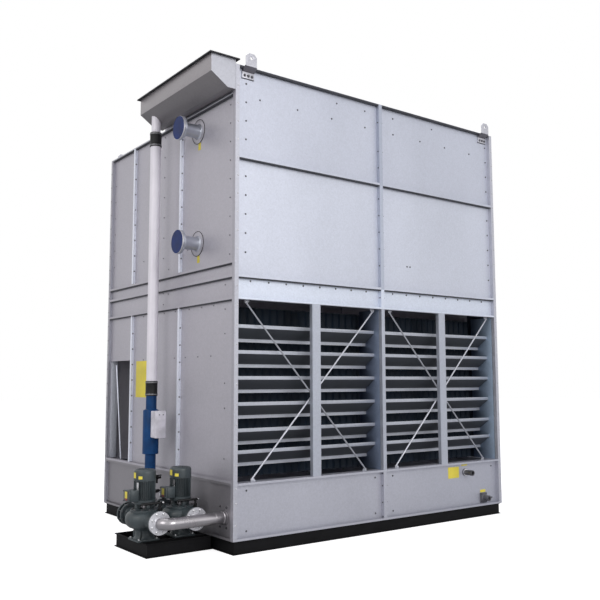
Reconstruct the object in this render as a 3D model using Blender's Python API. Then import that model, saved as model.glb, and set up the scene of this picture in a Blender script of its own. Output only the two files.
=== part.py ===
# Closed-circuit cooling tower with its pumps, riser and spray header on one base.
import math

import bmesh
import bpy
from mathutils import Vector

for old in list(bpy.data.objects):
    bpy.data.objects.remove(old, do_unlink=True)

# Main sizes in metres
casing_length = 3.664
casing_width = 2.876
base_height = 0.118
basin_top = 0.621
lintel_bottom = 2.277
module_joint = 2.486
band_top = 2.615
casing_joint = 3.609
low_roof = 4.229
high_roof = 4.500
coil_depth = 1.501

# Sheet and rib sizes
sheet = 0.002
post_sheet = 0.003
lip = 0.021
front_rib = 0.042
side_rib = 0.030
post_face = 0.044
mid_post_width = 0.045
side_rib_width = 0.030
ledge = 0.065
seat_gap = 0.0003
rib_setback = 0.0005
shortest_rib = 0.300

# Base channel and skid
channel_flange = 0.020
channel_steel = 0.007
cross_member_width = 0.045
base_inset = 0.012
skid_length = 0.651
skid_front = 0.367
skid_back = 1.047

# Sides of round pieces
large_sides = 32
round_sides = 20
rod_sides = 12
cup_sides = 6
tube_sides = 6
bend_steps = 6

# Louvres, mullions and braces
mullion_width = 0.100
mullion_depth = 0.042
left_mullion = 0.945
right_mullion = 2.720
slat_count = 6
slat_outer = 0.120
slat_inner = 0.260
slat_fall = 0.094
first_slat_drop = 0.253
slat_floor_gap = 0.121
last_slat_step = 0.197
slat_lip = 0.032
bank_depth = 0.360
rod_radius = 0.008
brace_plane = 0.058
brace_left_top = 0.116
brace_left_foot = 0.200
brace_right_top = 0.056
brace_right_foot = 0.200
gusset_size = 0.045
gusset_edge = 0.020
gusset_drop = 0.035
gusset_steel = 0.005

# Ribs and opening of the pump side
near_rib = 1.078
far_rib = 2.207
door_back_margin = 0.056
door_near_margin = 0.018
door_bottom_margin = 0.024
door_top = 1.771

# Fill, coil and sprays
fill_front = 0.420
fill_back = 1.330
fill_top = 2.250
fill_pitch = 0.090
fill_wave = 0.018
coil_bottom = 2.760
coil_top = 4.120
coil_front = 0.100
coil_back = 1.400
coil_plate = 0.004
tube_radius = 0.013
tube_columns = 12
tube_rows = 2
tube_row_pitch = 0.060
branch_count = 4
branch_radius = 0.030
branch_height = 4.370
spray_cup_radius = 0.022
spray_cup_drop = 0.075
spray_header_inset = 0.300
spray_cups = 5

# Header hood
hood_out = 0.264
hood_shoulder = 4.369
hood_floor_out = 0.087
hood_floor = 4.250
hood_top = 4.545
lid_overhang = 0.030
lid_inboard = 0.030
lid_rim = 0.018
lid_sheet = 0.003
hood_sheet = 0.003

# Fans
fan_offset = 0.865
fan_edge_margin = 0.150
ring_sheet = 0.004
ring_height = 0.215
ring_foot = 0.050
ring_lip = 0.018
hub_radius = 0.090
hub_height = 0.070
blade_count = 6
blade_root_chord = 0.150
blade_tip_chord = 0.190
blade_root_twist = 32.0
blade_mid_twist = 28.0
blade_tip_twist = 16.0
blade_thickness = 0.006
blade_tip_gap = 0.012
motor_pod_radius = 0.080
motor_pod_height = 0.140
motor_pod_rise = 0.070
spider_arm = 0.020
spider_depth = 0.040

# Coil nozzles
nozzle_setback = 0.755
nozzle_high = 4.043
nozzle_low = 2.893
nozzle_reach = 0.200
nozzle_radius = 0.057
blank_radius = 0.119
wall_ring_radius = 0.127
flange_radius = 0.101
flange_steel = 0.020
collar_steel = 0.006
gasket_steel = 0.004
gasket_setback = 0.012

# Riser
riser_out = 0.155
riser_setback = 1.345
riser_radius = 0.0545
sleeve_wall = 0.0065
clamp_wall = 0.0035
clamp_width = 0.014
clamp_edge = 0.008
high_sleeve_bottom = 3.998
high_sleeve_top = 4.150
low_sleeve_bottom = 1.384
low_sleeve_top = 1.535
riser_joint = 1.460
descaler_radius = 0.081
descaler_bottom = 0.800
descaler_top = 1.244
box_width = 0.110
box_depth = 0.120
box_bottom = 0.965
box_top = 1.238
box_edge = 0.006

# Pumps and their pipes
pump_setback = 0.587
outer_pump = 0.573
inner_pump = 0.213
pipe_height = 0.305
pipe_radius = 0.052
pump_half_reach = 0.300
volute_radius = 0.168
volute_half_height = 0.070
foot_width = 0.210
foot_steel = 0.018
neck_radius = 0.078
lantern_radius = 0.088
lantern_step = 0.010
lantern_flange = 0.014
web_width = 0.036
window_edge = 0.006
motor_bottom = 0.455
motor_top = 0.650
motor_radius = 0.099
cowl_radius = 0.100
cowl_top = 0.742
cowl_round = 0.020
terminal_out = 0.190
terminal_width = 0.120
terminal_bottom = 0.466
terminal_top = 0.569
manifold_setback = 0.185
wall_collar_radius = 0.066
wall_collar_steel = 0.012
bend_radius = 0.085
bend_clearance = 0.004
valve_length = 0.050
valve_radius = 0.085
riser_foot = 0.430
tee_radius = 0.085
tee_flange_radius = 0.085
tee_flange_steel = 0.018
stem_radius = 0.014
stem_height = 0.200

# Lifting lugs and basin fittings
lug_width = 0.135
lug_steel = 0.012
lug_foot = 0.065
lug_drop = 0.040
lug_joggle = 0.058
lug_rise = 0.120
lug_hole = 0.018
lug_chamfer = 0.025
lug_inset = 0.142
lug_neck = 0.030
lug_eye_drop = 0.042
makeup_from_left = 3.085
makeup_height = 0.505
makeup_reach = 0.120
makeup_radius = 0.027
drain_from_left = 3.385
drain_height = 0.200
drain_reach = 0.095
drain_radius = 0.030
drain_plate = 0.112
drain_plate_steel = 0.010
fitting_bore = 0.020
bore_depth = 0.060

# Places that follow from the sizes
left = -casing_length / 2.0
right = casing_length / 2.0
front = -casing_width / 2.0
back = casing_width / 2.0
front_sheet = front_rib + sheet
side_sheet = side_rib + sheet
bay_start = post_face + seat_gap
middle = casing_length / 2.0
curb_back = front + coil_depth
slat_room = lintel_bottom - basin_top - first_slat_drop - slat_fall - slat_lip - slat_floor_gap
slat_pitch = (slat_room - last_slat_step) / (slat_count - 2)


def put_front(u, v, w):
    return (w, front + u, v)


def put_back(u, v, w):
    return (w, back - u, v)


def put_left(u, v, w):
    return (left + u, w, v)


def put_right(u, v, w):
    return (right - u, w, v)


def put_plan(u, v, w):
    return (u, v, w)


def put_along_x(u, v, w):
    return (w, u, v)


def put_along_y(u, v, w):
    return (u, w, v)


def add_prism(bm, outline, start, end, place):
    low = [bm.verts.new(place(u, v, start)) for u, v in outline]
    high = [bm.verts.new(place(u, v, end)) for u, v in outline]
    bm.faces.new(low)
    bm.faces.new(list(reversed(high)))
    count = len(outline)
    for i in range(count):
        j = (i + 1) % count
        bm.faces.new((low[j], low[i], high[i], high[j]))


def add_box(bm, x0, x1, y0, y1, z0, z1):
    add_prism(bm, [(x0, y0), (x1, y0), (x1, y1), (x0, y1)], z0, z1, put_plan)


def add_lathe(bm, profile, closed, segments, place):
    rings = []
    for radius, height in profile:
        if radius < 1e-9:
            rings.append([])
            continue
        ring = []
        for k in range(segments):
            angle = 2.0 * math.pi * (k + 0.5) / segments
            ring.append(bm.verts.new(place(radius * math.cos(angle), radius * math.sin(angle), height)))
        rings.append(ring)
    pairs = list(zip(rings[:-1], rings[1:]))
    if closed:
        pairs.append((rings[-1], rings[0]))
    for first, second in pairs:
        if not first:
            bm.faces.new(list(reversed(second)))
        elif not second:
            bm.faces.new(first)
        else:
            for k in range(segments):
                n = (k + 1) % segments
                bm.faces.new((first[k], first[n], second[n], second[k]))


def add_cylinder(bm, radius, start, end, segments, place):
    add_lathe(bm, [(0.0, start), (radius, start), (radius, end), (0.0, end)], False, segments, place)


def add_tube(bm, path, radius, segments):
    rings = []
    count = len(path)
    for i, point in enumerate(path):
        back_dir = Vector(path[i]) - Vector(path[max(i - 1, 0)])
        next_dir = Vector(path[min(i + 1, count - 1)]) - Vector(path[i])
        tangent = (back_dir.normalized() + next_dir.normalized()).normalized()
        side = tangent.cross(Vector((0.0, 0.0, 1.0))).normalized()
        up = side.cross(tangent).normalized()
        ring = []
        for k in range(segments):
            angle = 2.0 * math.pi * (k + 0.5) / segments
            offset = side * (radius * math.cos(angle)) + up * (radius * math.sin(angle))
            ring.append(bm.verts.new(Vector(point) + offset))
        rings.append(ring)
    bm.faces.new(list(reversed(rings[0])))
    bm.faces.new(rings[-1])
    for first, second in zip(rings[:-1], rings[1:]):
        for k in range(segments):
            n = (k + 1) % segments
            bm.faces.new((first[k], first[n], second[n], second[k]))


def quarter_bend(corner, from_dir, to_dir, radius, steps):
    start = Vector(corner) - Vector(from_dir) * radius
    points = []
    for k in range(steps + 1):
        angle = 0.5 * math.pi * k / steps
        along = Vector(from_dir) * (radius * math.sin(angle))
        across = Vector(to_dir) * (radius * (1.0 - math.cos(angle)))
        points.append(tuple(start + along + across))
    return points


def around_z(cx, cy):
    return lambda u, v, w: (cx + u, cy + v, w)


def around_x(cy, cz):
    return lambda u, v, w: (w, cy + u, cz + v)


def around_y(cx, cz):
    return lambda u, v, w: (cx + u, w, cz + v)


def make_object(name, bm):
    bmesh.ops.recalc_face_normals(bm, faces=bm.faces)
    mesh = bpy.data.meshes.new(name)
    bm.to_mesh(mesh)
    bm.free()
    obj = bpy.data.objects.new(name, mesh)
    bpy.context.scene.collection.objects.link(obj)
    return obj


def combine(target, other, operation):
    modifier = target.modifiers.new("join", "BOOLEAN")
    modifier.operation = operation
    modifier.solver = "EXACT"
    modifier.object = other
    bpy.context.view_layer.update()
    graph = bpy.context.evaluated_depsgraph_get()
    mesh = bpy.data.meshes.new_from_object(target.evaluated_get(graph))
    target.modifiers.clear()
    target.data = mesh
    mesh.name = target.name
    bpy.data.objects.remove(other, do_unlink=True)


def add_piece(target, build):
    bm = bmesh.new()
    build(bm)
    combine(target, make_object("piece", bm), "UNION")


def cut_piece(target, build):
    bm = bmesh.new()
    build(bm)
    combine(target, make_object("cutter", bm), "DIFFERENCE")


def dress(obj, colour, roughness, metallic, smooth_angle=None):
    material = bpy.data.materials.new(obj.name)
    material.use_nodes = True
    shader = material.node_tree.nodes["Principled BSDF"]
    shader.inputs["Base Color"].default_value = (colour[0], colour[1], colour[2], 1.0)
    shader.inputs["Roughness"].default_value = roughness
    shader.inputs["Metallic"].default_value = metallic
    material.diffuse_color = (colour[0], colour[1], colour[2], 1.0)
    obj.data.materials.clear()
    obj.data.materials.append(material)
    if smooth_angle is not None:
        obj.data.shade_smooth()
        obj.data.set_sharp_from_angle(angle=math.radians(smooth_angle))


zinc = (0.56, 0.57, 0.63)
zinc_side = (0.40, 0.40, 0.44)
zinc_dull = (0.33, 0.33, 0.36)
black_steel = (0.012, 0.012, 0.013)
slat_grey = (0.20, 0.21, 0.24)
fill_black = (0.010, 0.011, 0.012)
pipe_white = (0.66, 0.64, 0.70)
pipe_blue = (0.010, 0.060, 0.200)
rubber = (0.010, 0.010, 0.012)
pump_green = (0.035, 0.048, 0.048)
pipe_steel = (0.36, 0.35, 0.38)


# Wall profile with a lipped bottom flange, lipped rails and a plain top flange
def wall_profile(bottom, top, rib, rails):
    points = [(0.0, bottom), (rib + sheet, bottom), (rib + sheet, top), (0.0, top)]
    points += [(0.0, top - sheet), (rib, top - sheet)]
    for rail in sorted(rails, reverse=True):
        points += [(rib, rail + sheet), (sheet, rail + sheet), (sheet, rail + lip)]
        points += [(0.0, rail + lip), (0.0, rail), (rib, rail)]
    points += [(rib, bottom + sheet), (sheet, bottom + sheet), (sheet, bottom + lip), (0.0, bottom + lip)]
    return points


# Upright rib folded as a channel, open towards the sheet it stands on
def rib_outline(centre, width, depth):
    a = centre - width / 2.0
    b = centre + width / 2.0
    face = rib_setback
    points = [(a, face), (b, face), (b, depth), (b - sheet, depth), (b - sheet, face + sheet)]
    points += [(a + sheet, face + sheet), (a + sheet, depth), (a, depth)]
    return points


def add_rib(target, side, centre, width, rib, low, high):
    depth = rib + sheet / 2.0
    outline = rib_outline(centre, width, depth)
    places = {
        "front": lambda u, v, w: (u, front + v, w),
        "back": lambda u, v, w: (u, back - v, w),
        "left": lambda u, v, w: (left + v, u, w),
        "right": lambda u, v, w: (right - v, u, w),
    }
    add_piece(target, lambda bm: add_prism(bm, outline, low, high, places[side]))


# Base frame of channels that open outwards, with cross members
def channel_ring(bm, x0, x1, y0, y1, height):
    flange = channel_flange
    steel = channel_steel
    section = [(0.0, 0.0), (flange, 0.0), (flange, height), (0.0, height)]
    section += [(0.0, height - steel), (flange - steel, height - steel)]
    section += [(flange - steel, steel), (0.0, steel)]
    loops = []
    for inset, level in section:
        loop = [(x0 + inset, y0 + inset), (x1 - inset, y0 + inset)]
        loop += [(x1 - inset, y1 - inset), (x0 + inset, y1 - inset)]
        loops.append([bm.verts.new((x, y, level)) for x, y in loop])
    count = len(loops)
    for i in range(count):
        first = loops[i]
        second = loops[(i + 1) % count]
        for k in range(4):
            n = (k + 1) % 4
            bm.faces.new((first[k], first[n], second[n], second[k]))


def beam(x0, x1, y0, y1):
    return lambda bm: add_box(bm, x0, x1, y0, y1, 0.0, base_height)


bm = bmesh.new()
base_x0 = left + base_inset
base_x1 = right - base_inset
base_y0 = front + base_inset
base_y1 = back - base_inset
channel_ring(bm, base_x0, base_x1, base_y0, base_y1, base_height)
base_frame = make_object("base_frame", bm)
inner_reach = channel_flange - channel_steel / 2.0
for offset in (-casing_length / 4.0, 0.0, casing_length / 4.0):
    x0 = offset - cross_member_width / 2.0
    x1 = offset + cross_member_width / 2.0
    add_piece(base_frame, beam(x0, x1, base_y0 + inner_reach, base_y1 - inner_reach))
dress(base_frame, black_steel, 0.55, 0.2)

bm = bmesh.new()
skid_x0 = left - skid_length
skid_x1 = base_x0 - seat_gap
channel_ring(bm, skid_x0, skid_x1, front + skid_front, front + skid_back, base_height)
pump_skid = make_object("pump_skid", bm)
foot_spread = (foot_width - cross_member_width) / 2.0
for offset in (-foot_spread, foot_spread):
    y_mid = front + pump_setback + offset
    y0 = y_mid - cross_member_width / 2.0
    y1 = y_mid + cross_member_width / 2.0
    add_piece(pump_skid, beam(skid_x0 + inner_reach, skid_x1 - inner_reach, y0, y1))
dress(pump_skid, black_steel, 0.55, 0.2)

# Basin tub with floor, outward flanges, inner ledge and standing seams
basin_bottom = base_height + seat_gap
bm = bmesh.new()
tub = [(left + side_rib, front + front_rib), (right - side_rib, front + front_rib)]
tub += [(right - side_rib, back - side_rib), (left + side_rib, back - side_rib)]
add_prism(bm, tub, basin_bottom, basin_top, put_plan)
basin = make_object("basin", bm)
hollow = [(left + side_sheet, front + front_sheet), (right - side_sheet, front + front_sheet)]
hollow += [(right - side_sheet, back - side_sheet), (left + side_sheet, back - side_sheet)]
cut_piece(basin, lambda bm: add_prism(bm, hollow, basin_bottom + sheet, basin_top - sheet, put_plan))
mouth = [(left + side_sheet + ledge, front + front_sheet + ledge)]
mouth += [(right - side_sheet - ledge, front + front_sheet + ledge)]
mouth += [(right - side_sheet - ledge, back - side_sheet - ledge)]
mouth += [(left + side_sheet + ledge, back - side_sheet - ledge)]
cut_piece(basin, lambda bm: add_prism(bm, mouth, basin_top - 2.0 * sheet, basin_top + sheet, put_plan))


# Outward rim strips of the basin between the corner posts
def rim_profiles(rib):
    foot = [(0.0, basin_bottom), (rib + sheet / 2.0, basin_bottom), (rib + sheet / 2.0, basin_bottom + sheet)]
    foot += [(sheet, basin_bottom + sheet), (sheet, basin_bottom + lip), (0.0, basin_bottom + lip)]
    head = [(0.0, basin_top - lip), (sheet, basin_top - lip), (sheet, basin_top - sheet)]
    head += [(rib + sheet / 2.0, basin_top - sheet), (rib + sheet / 2.0, basin_top), (0.0, basin_top)]
    return foot, head


def add_rims(rib, start, end, place):
    for outline in rim_profiles(rib):
        add_piece(basin, lambda bm: add_prism(bm, outline, start, end, place))


add_rims(front_rib, left + bay_start, right - bay_start, put_front)
add_rims(side_rib, left + bay_start, right - bay_start, put_back)
add_rims(side_rib, front + bay_start, back - bay_start, put_left)
add_rims(side_rib, front + bay_start, back - bay_start, put_right)
seam_low = basin_bottom + lip - sheet
seam_high = basin_top - sheet / 2.0
add_rib(basin, "front", 0.0, mid_post_width, front_rib, seam_low, seam_high)
add_rib(basin, "back", 0.0, side_rib_width, side_rib, seam_low, seam_high)
dress(basin, zinc, 0.38, 0.6)


# Corner posts folded from sheet
def corner_post(name, x_sign, y_sign, y_rib, top):
    w = post_face
    t = post_sheet
    ry = y_rib - seat_gap
    rx = side_rib - seat_gap
    outline = [(0.0, 0.0), (w, 0.0), (w, ry), (w - t, ry), (w - t, t)]
    outline += [(t, t), (t, w - t), (rx, w - t), (rx, w), (0.0, w)]
    corner_x = left if x_sign > 0 else right
    corner_y = front if y_sign > 0 else back
    bm = bmesh.new()
    place = lambda u, v, z: (corner_x + x_sign * u, corner_y + y_sign * v, z)
    add_prism(bm, outline, base_height + seat_gap, top, place)
    post = make_object(name, bm)
    dress(post, zinc, 0.35, 0.6)
    return post


corner_post("corner_post_front_left", 1, 1, front_rib, high_roof)
corner_post("corner_post_front_right", -1, 1, front_rib, high_roof)
corner_post("corner_post_rear_left", 1, -1, side_rib, low_roof)
corner_post("corner_post_rear_right", -1, -1, side_rib, low_roof)

# Louvre frame: lintel, middle post and mullions
storey = basin_top + seat_gap
bm = bmesh.new()
outline = wall_profile(lintel_bottom, module_joint, front_rib, [])
add_prism(bm, outline, left + bay_start, right - bay_start, put_front)
louvre_frame = make_object("louvre_frame", bm)
rib_low = lintel_bottom + lip - sheet
rib_high = module_joint - sheet / 2.0
add_rib(louvre_frame, "front", 0.0, mid_post_width, front_rib, rib_low, rib_high)
uprights = [(0.0, mid_post_width)]
uprights += [(left + left_mullion, mullion_width), (left + right_mullion, mullion_width)]
for centre, width in uprights:
    add_rib(louvre_frame, "front", centre, width, mullion_depth, storey, lintel_bottom + sheet / 2.0)
dress(louvre_frame, zinc, 0.36, 0.6)


# Casing panels of the front
def front_panel(name, low, high):
    bm = bmesh.new()
    profile = wall_profile(low + seat_gap, high, front_rib, [])
    add_prism(bm, profile, left + bay_start, right - bay_start, put_front)
    panel = make_object(name, bm)
    add_rib(panel, "front", 0.0, mid_post_width, front_rib, low + lip - sheet, high - sheet / 2.0)
    dress(panel, zinc, 0.36, 0.6)


front_panel("front_lower_casing", module_joint, casing_joint)
front_panel("front_upper_casing", casing_joint, high_roof)


# Casing panels of the other sides
def side_panel(name, side, low, high, rails, ribs):
    start = front + bay_start
    end = back - bay_start
    place = put_left if side == "left" else put_right
    if side == "back":
        start = left + bay_start
        end = right - bay_start
        place = put_back
    bm = bmesh.new()
    add_prism(bm, wall_profile(low + seat_gap, high, side_rib, rails), start, end, place)
    panel = make_object(name, bm)
    levels = [low + seat_gap] + sorted(rails) + [high]
    for lower, upper in zip(levels[:-1], levels[1:]):
        if upper - lower < shortest_rib:
            continue
        for centre in ribs:
            rib_top = upper + sheet / 2.0 if upper < high else upper - sheet / 2.0
            add_rib(panel, side, centre, side_rib_width, side_rib, lower + lip - sheet, rib_top)
    return panel


side_ribs = [front + near_rib, front + far_rib]
left_middle = side_panel("left_middle_panel", "left", basin_top, module_joint, [lintel_bottom], side_ribs)
door = (front + far_rib + door_near_margin, back - door_back_margin)
door_bottom = basin_top + door_bottom_margin
door_x0 = left + rib_setback
door_x1 = left + 2.0 * side_rib
cut_piece(left_middle, lambda bm: add_box(bm, door_x0, door_x1, door[0], door[1], door_bottom, door_top))
dress(left_middle, zinc_side, 0.42, 0.6)
left_upper = side_panel("left_upper_panel", "left", module_joint, low_roof, [band_top], side_ribs)
dress(left_upper, zinc_side, 0.42, 0.6)
right_middle = side_panel("right_middle_panel", "right", basin_top, module_joint, [lintel_bottom], side_ribs)
dress(right_middle, zinc_side, 0.42, 0.6)
right_upper = side_panel("right_upper_panel", "right", module_joint, low_roof, [band_top], side_ribs)
dress(right_upper, zinc_side, 0.42, 0.6)
rear_ribs = [-casing_length / 6.0, casing_length / 6.0]
rear_middle = side_panel("rear_middle_panel", "back", basin_top, module_joint, [lintel_bottom], rear_ribs)
dress(rear_middle, zinc_side, 0.42, 0.6)
rear_upper = side_panel("rear_upper_panel", "back", module_joint, low_roof, [band_top], rear_ribs)
dress(rear_upper, zinc_side, 0.42, 0.6)

# Curb round the coil section
curb_low = low_roof + seat_gap
curb_front = front + bay_start
bm = bmesh.new()
plan = [(left + side_rib, curb_front), (left + side_sheet, curb_front)]
plan += [(left + side_sheet, curb_back - sheet)]
plan += [(right - side_sheet, curb_back - sheet), (right - side_sheet, curb_front)]
plan += [(right - side_rib, curb_front), (right - side_rib, curb_back), (left + side_rib, curb_back)]
add_prism(bm, plan, curb_low, high_roof, put_plan)
curb = make_object("coil_curb", bm)
dress(curb, zinc_side, 0.42, 0.6)

# Roof deck with two fan openings
fan_y = (curb_back + back) / 2.0
fan_radius = (casing_width - coil_depth) / 2.0 - fan_edge_margin
fan_x = [-fan_offset, fan_offset]
deck_sheet = post_sheet
deck_low = low_roof + seat_gap
deck_high = deck_low + deck_sheet
bm = bmesh.new()
add_box(bm, left, right, curb_back + seat_gap, back, deck_low, deck_high)
roof_deck = make_object("roof_deck", bm)
hole_low = deck_low - sheet
hole_high = deck_high + sheet
for x in fan_x:
    at_fan = around_z(x, fan_y)
    cut_piece(roof_deck, lambda bm: add_cylinder(bm, fan_radius, hole_low, hole_high, large_sides, at_fan))
dress(roof_deck, zinc_side, 0.42, 0.6)


# Fan rings with spider and motor, and the impellers
def fan_ring(name, x):
    low = deck_high + seat_gap
    inner = fan_radius
    outer = fan_radius + ring_sheet
    foot = fan_radius + ring_foot
    high = low + ring_height
    profile = [(inner, low), (foot, low), (foot, low + ring_sheet), (outer, low + ring_sheet)]
    profile += [(outer, high - ring_sheet), (outer + ring_lip, high - ring_sheet), (outer + ring_lip, high)]
    profile += [(inner, high)]
    at_fan = around_z(x, fan_y)
    bm = bmesh.new()
    add_lathe(bm, profile, True, large_sides, at_fan)
    ring = make_object(name, bm)
    arm_low = low + ring_sheet * 2.0
    pod_top = arm_low + motor_pod_rise
    pod_low = pod_top - motor_pod_height
    add_piece(ring, lambda bm: add_cylinder(bm, motor_pod_radius, pod_low, pod_top, round_sides, at_fan))
    half = spider_arm / 2.0
    start = motor_pod_radius / 2.0
    reach = fan_radius + ring_sheet / 2.0
    for k in range(4):
        angle = math.radians(45.0 + 90.0 * k)
        c = math.cos(angle)
        s = math.sin(angle)
        corners = [(start, -half), (reach, -half), (reach, half), (start, half)]
        arm = [(x + c * u - s * v, fan_y + s * u + c * v) for u, v in corners]
        add_piece(ring, lambda bm: add_prism(bm, arm, arm_low, arm_low + spider_depth, put_plan))
    dress(ring, zinc_dull, 0.45, 0.5, 40.0)
    return pod_top


def impeller(name, x, seat):
    low = seat + seat_gap
    bm = bmesh.new()
    add_cylinder(bm, hub_radius, low, low + hub_height, round_sides, around_z(x, fan_y))
    fan = make_object(name, bm)
    mid = low + hub_height / 2.0
    tip = fan_radius - blade_tip_gap
    root = hub_radius * 0.7
    shoulder = hub_radius * 1.67
    stations = [(root, blade_root_chord / 2.0, blade_root_twist)]
    stations += [(shoulder, blade_root_chord, blade_mid_twist), (tip, blade_tip_chord, blade_tip_twist)]
    for k in range(blade_count):
        turn = 2.0 * math.pi * k / blade_count
        bm = bmesh.new()
        rings = []
        for r, chord, twist in stations:
            tilt = math.radians(twist)
            ring = []
            for along, thick in ((-0.5, -0.5), (0.5, -0.5), (0.5, 0.5), (-0.5, 0.5)):
                u = along * chord * math.cos(tilt) - thick * blade_thickness * math.sin(tilt)
                v = along * chord * math.sin(tilt) + thick * blade_thickness * math.cos(tilt)
                v = max(min(v, hub_height * 0.5), -hub_height * 0.5)
                px = x + r * math.cos(turn) - u * math.sin(turn)
                py = fan_y + r * math.sin(turn) + u * math.cos(turn)
                ring.append(bm.verts.new((px, py, mid + v)))
            rings.append(ring)
        bm.faces.new(list(reversed(rings[0])))
        bm.faces.new(rings[-1])
        for first, second in zip(rings[:-1], rings[1:]):
            for c in range(4):
                n = (c + 1) % 4
                bm.faces.new((first[c], first[n], second[n], second[c]))
        combine(fan, make_object("blade", bm), "UNION")
    dress(fan, (0.05, 0.05, 0.055), 0.5, 0.2, 40.0)


for name, x in zip(("left", "right"), fan_x):
    pod_top = fan_ring("fan_ring_" + name, x)
    impeller("impeller_" + name, x, pod_top)


# Louvre banks: slats between side plates
def slat_outline(top):
    t = sheet
    o = front + slat_outer
    i = front + slat_inner
    low = top - slat_fall
    points = [(o, top + slat_lip), (o, top), (i - t, low), (i - t, low - slat_lip)]
    points += [(i, low - slat_lip), (i, low + t), (o + t, top + t), (o + t, top + slat_lip)]
    return points


def louvre_bank(name, x0, x1):
    bm = bmesh.new()
    plate_front = front + front_sheet + seat_gap * 2.0
    plate_back = front + bank_depth
    for x in (x0, x1 - sheet):
        add_box(bm, x, x + sheet, plate_front, plate_back, storey, lintel_bottom - seat_gap)
    bank = make_object(name, bm)
    tops = [lintel_bottom - first_slat_drop - slat_pitch * k for k in range(slat_count - 1)]
    tops.append(tops[-1] - last_slat_step)
    bm = bmesh.new()
    for top in tops:
        add_prism(bm, slat_outline(top), x0 + sheet / 2.0, x1 - sheet / 2.0, put_along_x)
    combine(bank, make_object("slats", bm), "UNION")
    dress(bank, slat_grey, 0.4, 0.5)


post_half = mid_post_width / 2.0
louvre_bank("louvre_bank_left", left + bay_start, -post_half)
louvre_bank("louvre_bank_right", post_half, right - bay_start)


# Crossed brace rods, one behind the other, with a gusset at each end
def brace_rod(name, top_x, foot_x, depth):
    y = front + depth
    high = lintel_bottom - seat_gap
    low = storey
    d = 1.0 if foot_x > top_x else -1.0
    start = Vector((top_x, y, high - gusset_edge))
    end = Vector((foot_x, y, low + gusset_edge))
    axis = (end - start).normalized()
    side = Vector((0.0, 1.0, 0.0))
    other = axis.cross(side).normalized()
    reach = (end - start).length
    along = lambda u, v, w: tuple(start + axis * w + side * u + other * v)
    bm = bmesh.new()
    add_cylinder(bm, rod_radius, 0.0, reach, rod_sides, along)
    rod = make_object(name, bm)
    half = gusset_steel / 2.0
    heel = gusset_size * 0.3
    head = [(top_x - d * heel, high), (top_x + d * gusset_size, high), (top_x + d * heel, high - gusset_drop)]
    head += [(top_x - d * heel, high - gusset_drop * 0.7)]
    foot = [(foot_x + d * heel, low), (foot_x - d * gusset_size, low), (foot_x - d * heel, low + gusset_drop)]
    foot += [(foot_x + d * heel, low + gusset_drop * 0.7)]
    for plate in (head, foot):
        add_piece(rod, lambda bm: add_prism(bm, plate, y - half, y + half, put_along_y))
    dress(rod, zinc, 0.35, 0.6, 40.0)


def brace_pair(name, x0, x1):
    rear_depth = brace_plane + 2.0 * rod_radius + seat_gap
    brace_rod(name + "_falling", x0 + brace_left_top, x1 - brace_right_foot, brace_plane)
    brace_rod(name + "_rising", x1 - brace_right_top, x0 + brace_left_foot, rear_depth)


brace_pair("brace_left", left + bay_start, -post_half)
brace_pair("brace_right", post_half, right - bay_start)


# Fill packs with waved faces
def fill_pack(name, x0, x1):
    waves = max(int(round((x1 - x0) / fill_pitch)), 4)
    step = (x1 - x0) / waves
    outline = []
    for k in range(waves):
        outline.append((x0 + k * step, front + fill_front))
        outline.append((x0 + (k + 0.5) * step, front + fill_front + fill_wave))
    outline.append((x1, front + fill_front))
    outline.append((x1, front + fill_back))
    for k in range(waves - 1, -1, -1):
        outline.append((x0 + (k + 0.5) * step, front + fill_back - fill_wave))
        outline.append((x0 + k * step, front + fill_back))
    bm = bmesh.new()
    add_prism(bm, outline, storey, fill_top, put_plan)
    pack = make_object(name, bm)
    dress(pack, fill_black, 0.8, 0.0)


fill_pack("fill_pack_left", left + side_sheet + seat_gap, -seat_gap / 2.0)
fill_pack("fill_pack_right", seat_gap / 2.0, right - side_sheet - seat_gap)

# Coil bundle of tubes between end plates
bm = bmesh.new()
coil_x0 = left + side_sheet + seat_gap
coil_x1 = right - side_sheet - seat_gap
for x in (coil_x0, coil_x1 - coil_plate):
    add_box(bm, x, x + coil_plate, front + coil_front, front + coil_back, coil_bottom, coil_top)
coil = make_object("coil_bundle", bm)
bm = bmesh.new()
tube_x0 = coil_x0 + coil_plate / 2.0
tube_x1 = coil_x1 - coil_plate / 2.0
tube_step = (coil_back - coil_front) / tube_columns
for row in range(tube_rows):
    z = coil_top - tube_row_pitch * (row + 0.6)
    stagger = 0.25 + 0.5 * (row % 2)
    for k in range(tube_columns):
        y = front + coil_front + tube_step * (k + stagger)
        add_cylinder(bm, tube_radius, tube_x0, tube_x1, tube_sides, around_x(y, z))
combine(coil, make_object("tubes", bm), "UNION")
dress(coil, zinc_dull, 0.5, 0.5, 50.0)

# Spray branches with their header and cups
bm = bmesh.new()
branch_x0 = left + side_sheet + seat_gap
branch_x1 = right - side_sheet - seat_gap
branch_step = (coil_depth - front_sheet) / branch_count
branch_ys = [front + front_sheet + branch_step * (k + 0.5) for k in range(branch_count)]
for y in branch_ys:
    add_cylinder(bm, branch_radius, branch_x0, branch_x1, rod_sides, around_x(y, branch_height))
spray = make_object("spray_branches", bm)
header_x = left + spray_header_inset
at_header = around_y(header_x, branch_height)
header_radius = branch_radius * 0.9
header_y0 = branch_ys[0]
header_y1 = branch_ys[-1]
add_piece(spray, lambda bm: add_cylinder(bm, header_radius, header_y0, header_y1, rod_sides, at_header))
bm = bmesh.new()
cup_step = casing_length / (spray_cups + 1)
for y in branch_ys:
    for k in range(spray_cups):
        x = left + cup_step * (k + 1)
        low = branch_height - spray_cup_drop
        profile = [(0.0, low), (spray_cup_radius, low), (spray_cup_radius * 0.6, branch_height)]
        profile += [(0.0, branch_height)]
        add_lathe(bm, profile, False, cup_sides, around_z(x, y))
combine(spray, make_object("cups", bm), "UNION")
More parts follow.
